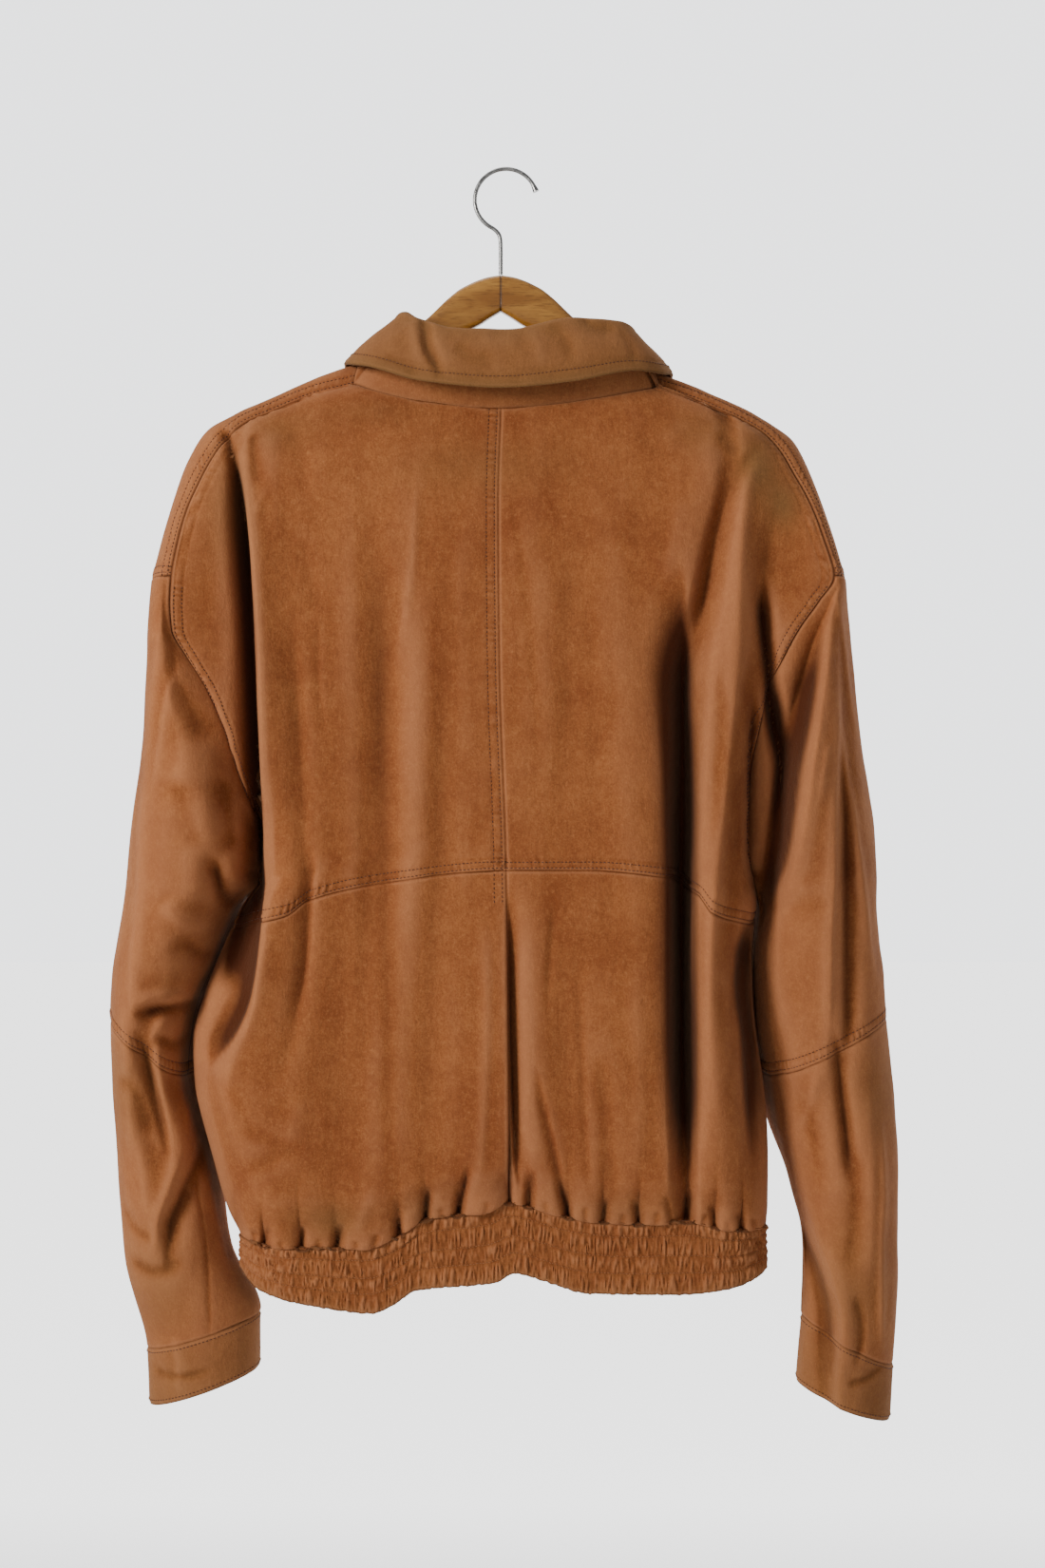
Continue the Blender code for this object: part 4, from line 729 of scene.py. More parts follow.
def creased(grid, normal, creases, facing, ends=None):
    """Presses troughs (-) and ridges (+) into the cloth where it faces that way along Y, down to
    a drop where they end if one is given.

    Each crease is (height, width on its left, width on its right, its line as x and drop).
    """
    weight = np.clip(normal[:, :, 1] * facing * FACING_FADE, 0, 1)
    x, drop = grid[:, :, 0], -grid[:, :, 2]
    lift = np.zeros(x.shape)
    for height, left, right, line in creases:
        line = polyline(line)
        reach = 2.4 * max(left, right)
        low, high = line.min(axis=0) - reach, line.max(axis=0) + reach
        near = (x > low[0]) & (x < high[0]) & (drop > low[1]) & (drop < high[1]) & (weight > 0)
        if not near.any():
            continue
        p = np.stack([x[near], drop[near]], axis=1)[:, None]
        a, span = line[:-1][None], np.diff(line, axis=0)[None]
        along = np.clip(((p - a) * span).sum(2) / (span**2).sum(2), 0, 1)
        gap = p - (a + span * along[:, :, None])
        distance = np.linalg.norm(gap, axis=2)
        best = distance.argmin(axis=1)
        pick = np.arange(len(best))
        share = (best + along[pick, best]) / (len(line) - 1)
        step = np.repeat(span, len(best), 0)[pick, best]
        right_of = gap[pick, best, 0] * step[:, 1] - gap[pick, best, 1] * step[:, 0] > 0
        width = np.where(right_of, right, left)
        fade = np.clip(share / CREASE_FADES_IN, 0, 1)
        fade = fade * np.clip((1 - share) / CREASE_FADES_OUT, 0, 1)
        fade = fade * fade * (3 - 2 * fade)
        lift[near] += height * fade * np.exp(-((distance[pick, best] / width) ** CREASE_SHARPNESS))
    if ends:
        lift *= np.clip((ends - drop) / CREASE_END_FADE, 0, 1)
    moved = grid.copy()
    moved[:, :, 1] += facing * lift * weight
    return moved


def pressed_by(grid, normal, *presses):
    """Creases the cloth, each press being its creases, the way it faces and where it ends; also
    gives how far each point now stands out (+) or in (-) from where it lay."""
    before = grid
    for creases, facing, ends in presses:
        grid = creased(grid, normal, creases, facing, ends)
    return grid, (grid - before)[:, :, 1] * np.sign(normal[:, :, 1])


def rumpled(grid, normal, rumple, seed):
    """Low, soft unevenness, of a height and size, that runs mostly down the cloth."""
    height, size = rumple

    def rough(x, y, z):
        broad = noise.noise((x / size, y / size + seed, z / size / 2.2))
        return broad + 0.5 * noise.noise((2.3 * x / size, 2.3 * y / size + seed, z / size))

    rise = np.array([rough(*point) for point in grid.reshape(-1, 3)]).reshape(grid.shape[:2])
    return grid + normal * (rise * height)[:, :, None]


# What the colour shows: spans of cloth over which a rise is judged, the heights at which a ridge is
# fully lightened (rubbed nap and a painted highlight) and a hollow fully dark (painted shade), and
# how near an edge the cloth takes painted shade and where near it the nap is rubbed.
FINE_SPAN, BROAD_SPAN, BROAD_SHARE = 15, 32, 0.6
RUBBED_AND_HIGHLIT_HEIGHT, FULL_SHADE_DEPTH, PRESSED_HEIGHT, PRESSED_LEAST = 2.6, 7, 11, 0.3
SEAM_SHADE, SEAM_SHADE_REACH = 0.9, 1.0
EDGE_RUBBED, RUBBED_PLACE, RUBBED_REACH = 0.7, 2.0, 0.9
SHARP_EDGE = math.radians(62)


def cloth(name, grid, node_name, sign, wrap=False, soil=None, pressed=0.0, crisp=1.0,
          lightened=0.0):
    """A thin wall of suede with the grid as its outside.

    sign is 1 where the grid's normals already point out of the garment. Marks tell the colour
    where the nap is rubbed light and ridges take a painted highlight, where hollows, creases and
    seams take painted shade, and where it is soiled.
    """
    rows, columns = grid.shape[:2]
    normal = outward(grid, wrap) * sign
    rise = ((grid - blurred(grid, FINE_SPAN)) * normal).sum(axis=2)
    rise = (rise + BROAD_SHARE * ((grid - blurred(grid, BROAD_SPAN)) * normal).sum(axis=2)) * crisp
    # Painted shade: the colour darkens in hollows and pressed creases, and along sewn seams.
    hollow = np.maximum(-rise / FULL_SHADE_DEPTH, -PRESSED_LEAST - pressed / PRESSED_HEIGHT)
    painted_shade = np.clip(hollow, 0, 1)
    away = from_edges(grid)
    sewn_edges = (("top", "bottom"),) if wrap else (("start", "end"), ("top", "bottom"))
    for one, other in sewn_edges:
        near = np.minimum(away[one], away[other])
        painted_shade = np.maximum(painted_shade, SEAM_SHADE * np.exp(-((near / SEAM_SHADE_REACH) ** 2)))
    rubbed = sum(
        np.exp(-(((away[edge] - RUBBED_PLACE) / RUBBED_REACH) ** 2))
        for edge in (("top", "bottom") if wrap else away)
    )
    # Lighter colour: nap rubbed near the edges, a lift over the whole piece, and a painted highlight on
    # ridges.
    worn = np.clip(lightened + rise / RUBBED_AND_HIGHLIT_HEIGHT + EDGE_RUBBED * rubbed, 0, 1)
    soiled = np.zeros((rows, columns)) if soil is None else soil(grid)
    # the inside skin takes every other row and column of the outside
    kept = [sorted({*range(0, n, 2), n - 1}) for n in (rows, columns)]
    inner = (grid - normal * WALL)[np.ix_(*kept)]
    outside = np.arange(rows * columns).reshape(rows, columns)
    inside = np.arange(inner.shape[0] * inner.shape[1]).reshape(inner.shape[:2]) + rows * columns
    if wrap:
        outside[:, -1], inside[:, -1] = outside[:, 0], inside[:, 0]
    faces = []
    for index, way in ((outside, sign), (inside, -sign)):
        loop = [index[:-1, :-1], index[1:, :-1], index[1:, 1:], index[:-1, 1:]]
        faces += np.stack(loop if way > 0 else loop[::-1], axis=2).reshape(-1, 4).tolist()

    def rim(line, hem, at, forward):
        for k, (one, two) in enumerate(zip(at[:-1], at[1:])):
            loop = [*line[one : two + 1], hem[k + 1], hem[k]]
            faces.append([int(v) for v in (loop if forward else loop[::-1])])

    rim(outside[0], inside[0], kept[1], sign < 0)
    rim(outside[-1], inside[-1], kept[1], sign > 0)
    if not wrap:
        rim(outside[:, 0], inside[:, 0], kept[0], sign > 0)
        rim(outside[:, -1], inside[:, -1], kept[0], sign < 0)
    points = np.concatenate([grid.reshape(-1, 3), inner.reshape(-1, 3)])
    marks = {}
    for mark, values in (("worn", worn), ("painted_shade", painted_shade), ("soiled", soiled)):
        marks[mark] = np.concatenate([values.ravel(), values[np.ix_(*kept)].ravel()])
    marks["inside"] = np.repeat((0.0, 1.0), (rows * columns, inner.shape[0] * inner.shape[1]))
    made = piece(name, points, faces, SUEDE, marks)
    made.data.set_sharp_from_angle(angle=SHARP_EDGE)
    if wrap:
        trimmed = bmesh.new()
        trimmed.from_mesh(made.data)
        loose = [v for v in trimmed.verts if not v.link_faces]
        bmesh.ops.delete(trimmed, geom=loose, context="VERTS")
        trimmed.to_mesh(made.data)
        trimmed.free()
    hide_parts(node_name)
    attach(made, "root")


def suede():
    """Napped leather: mottled dye, rubbed light on edges and ridges, where it also takes a painted
    highlight, and painted dark red shade in creases and along seams.
    """
    made, tree, shader = painted("suede", (0.36, 0.13, 0.045), 0.92)
    place = node(tree, "ShaderNodeTexCoord").outputs["Object"]

    def mark(name):
        return node(tree, "ShaderNodeAttribute", {"attribute_name": name}).outputs["Fac"]

    def spread(socket, low, high, to_low, to_high):
        return node(tree, "ShaderNodeMapRange", Value=socket, i1=low, i2=high,
                    i3=to_low, i4=to_high).outputs[0]

    def mixed(factor, one, two):
        settings = {"data_type": "RGBA", "blend_type": "MIX"}
        return node(tree, "ShaderNodeMix", settings, i0=factor, i6=one, i7=two).outputs[2]

    def noise_at(scale, detail, rough, where=place, twist=0.0):
        return node(tree, "ShaderNodeTexNoise", Vector=where, Scale=scale, Detail=detail,
                    Roughness=rough, Distortion=twist).outputs["Fac"]

    def raised(height, strength, depth, **below):
        return node(tree, "ShaderNodeBump", Height=height, Strength=strength, Distance=depth,
                    **below).outputs[0]

    cloud = noise_at(13.0, 5.0, 0.6, twist=0.5)
    patch = noise_at(48.0, 6.0, 0.68, twist=0.5)
    brushed = node(tree, "ShaderNodeMapping", i3=(330, 330, 120), i0=place).outputs[0]
    nap = noise_at(1.0, 5.0, 0.7, brushed)
    fleck = noise_at(190.0, 4.0, 0.72, twist=0.3)
    grain = noise_at(640.0, 4.0, 0.7)
    worn, painted_shade, soiled, inside = (mark(name) for name in ("worn", "painted_shade", "soiled", "inside"))
    colour = (0.235, 0.064, 0.018, 1)
    # each layer: where it begins and is full, its greatest share, and its colour
    for layer, low, high, most, tint in (
        (cloud, 0.32, 0.68, 1, (0.350, 0.117, 0.036, 1)),
        (patch, 0.42, 0.75, 0.32, (0.45, 0.170, 0.055, 1)),
        (patch, 0.46, 0.24, 0.3, (0.20, 0.048, 0.013, 1)),
        (fleck, 0.50, 0.72, 0.34, (0.47, 0.190, 0.066, 1)),
        (fleck, 0.50, 0.28, 0.30, (0.18, 0.046, 0.013, 1)),
        (nap, 0.35, 0.72, 0.34, (0.20, 0.056, 0.017, 1)),
        (grain, 0.52, 0.34, 0.42, (0.16, 0.042, 0.012, 1)),
        (grain, 0.56, 0.72, 0.3, (0.56, 0.25, 0.10, 1)),
        # rubbed nap, with a painted highlight on ridges
        (worn, 0, 1, 0.5, (0.50, 0.205, 0.090, 1)),
        # painted shade, near black, in hollows, creases and along seams
        (painted_shade, 0, 1, 0.94, (0.06, 0.014, 0.005, 1)),
        (soiled, 0, 1, 0.75, (0.165, 0.088, 0.030, 1)),
        (inside, 0, 1, 0.6, (0.20, 0.085, 0.035, 1)),
    ):
        colour = mixed(spread(layer, low, high, 0, most), colour, tint)
    tree.links.new(colour, shader.inputs["Base Color"])
    tree.links.new(spread(patch, 0.3, 0.7, 0.86, 1.0), shader.inputs["Roughness"])
    crumple = noise_at(110.0, 5.0, 0.55, twist=0.4)
    fuzz = raised(nap, 0.6, 0.0009)
    tooth = raised(grain, 0.5, 0.0006, Normal=fuzz)
    dimple = raised(crumple, 0.45, 0.0016, Normal=tooth)
    tree.links.new(dimple, shader.inputs["Normal"])
    shader.inputs["Specular IOR Level"].default_value = 0.12
    shader.inputs["Sheen Weight"].default_value = 0.14
    shader.inputs["Sheen Roughness"].default_value = 0.5
    shader.inputs["Sheen Tint"].default_value = (1.0, 0.66, 0.40, 1)
    return made


SUEDE = suede()


def thread(name, colour):
    made, tree, shader = painted(name, colour, 0.6)
    place = node(tree, "ShaderNodeTexCoord").outputs["Object"]
    twist = node(tree, "ShaderNodeTexWave", {"bands_direction": "DIAGONAL"}, Scale=900.0,
                 Vector=place)
    ply = node(tree, "ShaderNodeBump", Height=twist.outputs["Fac"], Strength=0.4, Distance=0.0002)
    tree.links.new(ply.outputs[0], shader.inputs["Normal"])
    return made


WAXED_THREAD = thread("waxed_thread", (0.095, 0.029, 0.012))
# A stitch is a short bar: shares of its length, how thick it is there and how proud it stands.
STITCH_RINGS = ((-0.5, 0.35, -0.18), (-0.3, 1.0, 0.22), (0.3, 1.0, 0.22), (0.5, 0.35, -0.18))
STITCH_TURNS = (0.0, 2.1, 4.2)


def stitching(name, runs, pitch=3.0, length=2.1, thickness=0.8, made_of=WAXED_THREAD):
    """Lockstitches: each run is points along a seam, and the cloth's normals there."""
    points, faces = [], []
    for line, normal in runs:
        span = np.concatenate([[0], np.cumsum(np.linalg.norm(np.diff(line, axis=0), axis=1))])
        count = int(span[-1] / pitch)
        for k in range(count):
            at = span[-1] * (k + 0.5) / count
            ends = []
            for shift, fat, lift in STITCH_RINGS:
                where = at + shift * length
                middle = np.array([np.interp(where, span, line[:, i]) for i in range(3)])
                up = np.array([np.interp(where, span, normal[:, i]) for i in range(3)])
                up /= max(np.linalg.norm(up), 1e-9)
                ends.append((middle, up, fat, lift))
            side = np.cross(ends[-1][0] - ends[0][0], ends[1][1])
            side /= max(np.linalg.norm(side), 1e-9)
            base = len(points)
            for middle, up, fat, lift in ends:
                for turn in STITCH_TURNS:
                    out = up * math.cos(turn) + side * math.sin(turn)
                    points.append(middle + up * lift + out * thickness / 2 * fat)
            for start in range(base, base + 9, 3):
                for j, n in ((0, 1), (1, 2), (2, 0)):
                    faces.append((start + j, start + n, start + 3 + n, start + 3 + j))
            faces += [(base + 2, base + 1, base), (base + 9, base + 10, base + 11)]
    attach(piece(name, points, faces, made_of), "root")


# Creases of the back as worn and hung: one deep fold falls from each shoulder, the rest is soft.
BACK_CREASES = [
    # from the left shoulder, beside the armhole, and on round the hip
    (-24, 8, 3.2, ((-206, 214), (-199, 250), (-193.5, 305), (-190, 360), (-188, 410), (-186, 460),
                   (-184, 515), (-183, 560), (-186, 606))),
    (-8, 5, 2.6, ((-214, 190), (-206, 218), (-199, 250), (-194, 300), (-191, 345))),
    (3.0, 2.6, 10, ((-201, 226), (-191, 262), (-185, 330), (-182, 400), (-180, 470), (-179, 560),
                    (-182, 620), (-191, 655), (-208, 676))),
    (-19, 13, 3, ((-181, 520), (-182, 555), (-185, 590), (-190, 626), (-199, 650), (-212, 668),
                  (-226, 684))),
    (-17, 11, 11, ((-196, 540), (-201, 580), (-212, 628))),
    # left half, shoulder blade
    (-3.6, 9, 7, ((-160, 320), (-154, 400), (-150, 470), (-147, 540), (-147, 600), (-157, 660),
                  (-178, 705))),
    (-3.4, 6, 2.4, ((-142, 510), (-144, 560), (-148, 610), (-158, 655))),
    (2.2, 16, 9, ((-116, 220), (-115, 330), (-113, 430), (-112, 540), (-113, 640), (-118, 730))),
    (-3.4, 8, 30, ((-88, 270), (-91, 370), (-90, 450), (-87, 540), (-85, 640), (-84, 740), (-80, 800))),
    (0.9, 2.5, 7, ((-65, 232), (-69, 300), (-77, 360), (-85, 415))),
    (-1.1, 2.5, 9, ((-62, 245), (-65, 305), (-72, 365))),
    (-0.9, 6, 2.2, ((-138, 345), (-138, 390), (-133, 440))),
    (-2.4, 4, 5, ((-189, 204), (-187, 226), (-184, 252))),
    (-1.2, 8, 8, ((-168, 196), (-153, 225), (-148, 262))),
    (0.9, 6, 6, ((-177, 200), (-173, 240), (-168, 310))),
    (-1.0, 8, 8, ((-154, 285), (-143, 320), (-136, 350))),
    (0.5, 6, 8, ((-30, 250), (-34, 330), (-30, 420), (-34, 510))),
    (-0.7, 7, 9, ((-47, 380), (-50, 450), (-47, 520), (-52, 600), (-56, 700), (-52, 770))),
    (0.7, 3, 3, ((-187, 272), (-181, 258), (-177, 246))),
    # left half, below the waist
    (-1.4, 6, 8, ((-200, 760), (-172, 747), (-146, 731))),
    (-0.8, 5, 6, ((-198, 724), (-170, 735), (-150, 750))),
    (0.8, 6, 7, ((-148, 696), (-158, 730), (-172, 768))),
    (-1.0, 5, 8, ((-208, 690), (-192, 712), (-180, 745))),
    (1.3, 5, 5, ((-112, 806), (-104, 786), (-96, 762))),
    # right half, from the shoulder
    (-7, 13, 5, ((193, 212), (179, 232), (166, 256), (157, 287), (150, 325), (142, 372), (137, 410))),
    (6.5, 8, 9, ((188, 220), (180, 252), (175, 288), (173, 330), (170, 395), (166, 450), (158, 520),
                 (152, 580), (151, 640), (155, 700), (162, 752))),
    (-28, 21, 6, ((128, 296), (133, 370), (135, 430), (136, 500), (136, 580), (137, 660), (138, 730),
                  (141, 790))),
    (2.8, 8, 2.6, ((111, 380), (115.5, 460), (118, 540), (118, 640), (119, 720), (124, 786))),
    (0.7, 5, 5, ((133, 254), (125, 290), (118, 330))),
    (-15, 6, 4.5, ((191, 312), (194, 350), (198, 388), (202, 424), (206, 456))),
    (-9, 3, 7, ((185, 396), (184, 450), (184, 500), (186, 545))),
    (-0.5, 2, 4, ((3, 248), (14, 320), (20, 385), (26, 450))),
    (-0.8, 10, 10, ((43, 310), (47, 375), (44, 440))),
    (0.6, 10, 10, ((28, 290), (31, 400), (30, 510))),
    (0.8, 10, 12, ((76, 250), (84, 360), (88, 460), (97, 570))),
    (-0.6, 6, 8, ((60, 330), (66, 420), (64, 520))),
    (-0.4, 6, 6, ((96, 205), (118, 222), (140, 228))),
    # right half, below the waist
    (-1.2, 3, 3, ((37, 556), (33, 600), (31, 645))),
    (-1.1, 4, 3, ((54, 590), (57, 680), (60, 740), (63, 785))),
    (-2.8, 5, 2.2, ((21, 670), (31, 718), (39, 752), (44, 775), (48, 796))),
    (-2.6, 9, 7, ((69, 660), (75, 730), (81, 785))),
    (1.4, 8, 8, ((96, 590), (100, 690), (98, 785))),
    (-6, 1.6, 7, ((3, 538), (3.5, 600), (5, 680), (8, 740), (13, 790))),
    (1.4, 5, 3, ((-14, 560), (-13, 640), (-16, 720), (-20, 785))),
    (-18, 6, 14, ((189, 562), (178, 596), (176, 622), (181, 660), (184, 720), (191, 786))),
    (1.6, 5, 4, ((160, 600), (166, 640), (164, 700))),
]
# Tucks that rise from the waistband where the elastic pinches: x, lean, length, depth.
HEM_TUCKS = (
    (-190, 3, 12, 3), (-181, 6, 18, 5), (-166, -2, 8, 2), (-153, 3, 20, 6), (-140, 3, 9, 2),
    (-126, 6, 22, 6), (-112, 2, 8, 2), (-98, 4, 13, 3), (-79, -2, 18, 5), (-60, 4, 30, 7),
    (-47, -1, 9, 2), (-35, 9, 44, 8), (-14, 2, 11, 2), (3, -2, 24, 5), (18, 3, 34, 5), (31, -1, 10, 2),
    (47, -8, 34, 6), (60, 0, 14, 3), (73, 4, 22, 4), (87, 2, 10, 2), (100, -4, 24, 5), (112, 2, 12, 2),
    (124, -5, 26, 4), (136, 2, 26, 6), (148, 3, 11, 2), (157, -4, 22, 5), (167, 0, 9, 2),
    (177, -5, 18, 5), (189, -2, 12, 3),
)
TUCK_SINK, TUCK_WIDTH = 0.8, 2.7
for x, lean, length, depth in HEM_TUCKS:
    seam = float(smooth(np.array([x]), HEM_BACK["x"], HEM_BACK["drop"])[0])
    rising = tuple(
        (x + lean * along, seam - length * up)
        for along, up in ((-0.4, -0.35), (0, 0), (0.5, 0.5), (1, 1))
    )
    BACK_CREASES.append((-TUCK_SINK * depth, TUCK_WIDTH, TUCK_WIDTH, rising))

# Creases of the sleeves; those that cross an armhole seam press both cloths alike.
SLEEVE_CREASES = {
    "left": [
        (3.4, 5, 9, ((-246, 296), (-252, 345), (-260, 390), (-266, 430), (-270, 490), (-273, 560),
                     (-276, 615), (-273, 658), (-263, 696))),
        (2.3, 2.6, 7, ((-240, 376), (-249, 405), (-256, 440), (-260, 480))),
        (-3.4, 12, 12, ((-240, 462), (-235, 495), (-222, 524))),
        (-4.2, 8, 8, ((-213, 462), (-207, 496), (-204, 530))),
        (5.5, 13, 12, ((-222, 424), (-218, 480), (-212, 534))),
        (-8.5, 4, 5, ((-218, 520), (-215, 544), (-206, 560), (-190, 561))),
        (4.2, 6, 5, ((-208, 512), (-200, 542), (-189, 551))),
        (-5.5, 10, 7, ((-244, 582), (-228, 598), (-210, 606))),
        (3.9, 7, 9, ((-254, 556), (-233, 574), (-212, 578))),
        (5.2, 3, 8, ((-280, 635), (-256, 629), (-238, 629), (-222, 624))),
        (-7.2, 8, 2.6, ((-280, 643), (-256, 637), (-238, 637), (-226, 634))),
        (-7.8, 4, 6, ((-276, 646), (-267, 688), (-259, 722), (-250, 756))),
        (-5.9, 6, 5, ((-262, 656), (-248, 666), (-234, 656))),
        (4.7, 8, 3, ((-240, 694), (-240, 738), (-250, 770), (-260, 800), (-263, 836))),
        (-9.1, 2.8, 11, ((-231, 700), (-232, 746), (-243, 778), (-253, 806), (-253, 846))),
        (-4.2, 8, 8, ((-288, 684), (-273, 708), (-262, 738))),
        (3.4, 8, 8, ((-284, 712), (-270, 760), (-268, 806))),
        (-3.6, 6, 6, ((-286, 828), (-262, 836), (-238, 826))),
        (-2.3, 5, 5, ((-290, 786), (-276, 806), (-260, 812))),
        (-1.4, 1.5, 1.5, ((-239, 744), (-229, 800), (-224, 850), (-222, 900))),
        (2.6, 5, 8, ((-234, 752), (-219, 800), (-212, 856))),
        (-2.1, 4, 3, ((-270, 914), (-246, 917), (-218, 911))),
        (1.8, 4, 6, ((-250, 884), (-246, 910), (-248, 935))),
    ],
    "right": [
        (-19, 9, 4.2, ((242, 326), (230, 385), (223.5, 420), (216.5, 455), (211, 490), (205, 530),
                       (197, 568), (189, 596))),
        (-13, 5, 5, ((199, 388), (205, 425), (209, 465), (207, 510), (199, 552))),
        (4.8, 3, 12, ((245, 338), (236, 395), (228, 445), (220, 495), (211, 535), (202, 570), (195, 600),
                      (198, 640), (206, 688))),
        (4.5, 10, 2.8, ((247, 322), (247, 400), (245, 460), (243.5, 520), (241.5, 580), (240.5, 640),
                        (240, 672))),
        (-9.1, 4, 9, ((249, 410), (252, 490), (253, 550), (254, 610), (254, 655), (259, 708))),
        (4.5, 6, 3.4, ((243, 396), (252, 452), (260, 500), (267, 548), (274, 592), (283, 634))),
        (3.1, 3, 4, ((245, 318), (253, 362), (260, 408), (266, 448))),
        (1.7, 2.4, 4, ((239, 436), (235, 460), (231, 488))),
        (-9.1, 6, 5, ((245, 646), (251, 695), (256, 735), (259, 774))),
        (2.4, 4, 5, ((234, 682), (228, 706), (221, 734))),
        (-3.6, 8, 8, ((262, 736), (262, 790), (257, 846))),
        (3.1, 9, 9, ((272, 690), (275, 780), (272, 866))),
        (-2.8, 7, 7, ((222, 700), (232, 740), (240, 790))),
        (3.9, 4, 3.4, ((282, 712), (285, 770), (283, 820), (284, 870), (287, 914))),
        (4.5, 2.8, 10, ((219, 760), (232, 804), (246, 840), (253, 868), (254, 892), (249, 922))),
        (-10.5, 10, 2.8, ((212, 764), (226, 808), (239, 842), (246, 872), (247, 898), (243, 930))),
        (-2.8, 4, 4, ((262, 850), (268, 880), (264, 912))),
        (2.2, 3, 6, ((253, 902), (250, 924), (252, 950))),
        (-2.5, 3, 3, ((256, 922), (272, 918), (292, 908))),
    ],
}


SOILED_PLACES = (
    # strength, middle as x and drop, spread across and down
    (0.9, (190, 232), (16, 26)), (0.8, (208, 262), (12, 18)), (0.35, (150, 205), (30, 18)),
    (0.45, (-205, 262), (16, 40)), (0.35, (-170, 205), (30, 18)), (0.25, (-100, 190), (40, 12)),
    (0.5, (-130, 795), (26, 16)), (0.3, (-60, 790), (18, 12)), (0.25, (90, 790), (60, 12)),
    (0.3, (-20, 232), (60, 20)),
)


def soil_of_back(grid):
    """Grime where the wearer's shoulders and the hem rub."""
    x, drop = grid[:, :, 0], -grid[:, :, 2]
    total = np.zeros(x.shape)
    for strength, (middle_x, middle_drop), (wide, high) in SOILED_PLACES:
        off = ((x - middle_x) / wide) ** 2 + ((drop - middle_drop) / high) ** 2
        total += strength * np.exp(-off)
    return np.clip(total, 0, 1)


def along_edge(grid, normal, away, row, from_end=False):
    """The line that keeps a fixed distance from the first or last column of the cloth."""
    points, ups = [], []
    for r in range(len(grid)):
        reach = away[r][::-1] if from_end else away[r]
        line, up = (grid[r][::-1], normal[r][::-1]) if from_end else (grid[r], normal[r])
        if reach[-1] > row * 1.5:
            points.append([np.interp(row, reach, line[:, i]) for i in range(3)])
            ups.append([np.interp(row, reach, up[:, i]) for i in range(3)])
    return np.array(points), np.array(ups)


ARMHOLE_STITCHED = (8.3, 16.9)  # stations between which the armhole is topstitched
FIRST_LINE, SECOND_LINE = -5, -10  # the points that lie on the two rows of stitches at an edge


def armhole_stitches(grid, normal, station):
    """The two lines of stitches along the armhole edge of a body panel."""
    inside = (station > ARMHOLE_STITCHED[0]) & (station < ARMHOLE_STITCHED[1])
    away = from_edges(grid)["start"][inside]
    return [along_edge(grid[inside], normal[inside], away, row) for row in STITCH_ROWS]


ARMHOLE_FOOT_DROP = 560  # creases that run in from the neighbour cloth end here
BODY_RUMPLE = (0.8, 34.0)
BODY_EDGES = {}


def build_backs():
    """Upper and lower halves; the waist and the middle carry two rows of stitches each."""
    edges = ("top", "start", "end", "bottom")
    for side, sign in SIDES.items():
        overlaps = side == "left"  # the middle seam is stitched down on this half
        grid = back_rows(side, True)
        normal = outward(grid) * -sign
        from_sleeve = (SLEEVE_CREASES[side], -1, ARMHOLE_FOOT_DROP)
        grid, pressed = pressed_by(grid, normal, (BACK_CREASES, -1, None), from_sleeve)
        grid = rumpled(grid, normal, BODY_RUMPLE, 3.1)
        stitched = ("bottom", "start", "end") if overlaps else ("bottom", "start")
        grid = sewn(grid, normal, edges, stitched)
        normal = outward(grid) * -sign
        BODY_EDGES[side, "start"] = (UPPER_STATIONS, grid[:, 0].copy())
        cloth("back_panel_upper_" + side, grid, "back_upper_" + side, -sign, soil=soil_of_back,
              pressed=pressed)
        runs = armhole_stitches(grid, normal, UPPER_STATIONS)
        for line in (FIRST_LINE, SECOND_LINE):
            runs.append((grid[line], normal[line]))
            if overlaps:
                runs.append((grid[:, line], normal[:, line]))

        grid = back_rows(side, False)
        normal = outward(grid) * -sign
        grid, pressed = pressed_by(grid, normal, (BACK_CREASES, -1, None))
        grid = onto_band(grid, side)
        grid = rumpled(grid, normal, BODY_RUMPLE, 7.7)
        grid = sewn(grid, normal, edges)
        normal = outward(grid) * -sign
        cloth("back_panel_lower_" + side, grid, "back_lower_" + side, -sign,
              soil=soil_of_back, pressed=pressed)
        if overlaps:
            short = slice(2, 16)  # they end just under the waist, where the pleat opens
            for line in (FIRST_LINE, SECOND_LINE):
                runs.append((grid[short, line], normal[short, line]))
        stitching("back_stitching_" + side, runs)


build_backs()

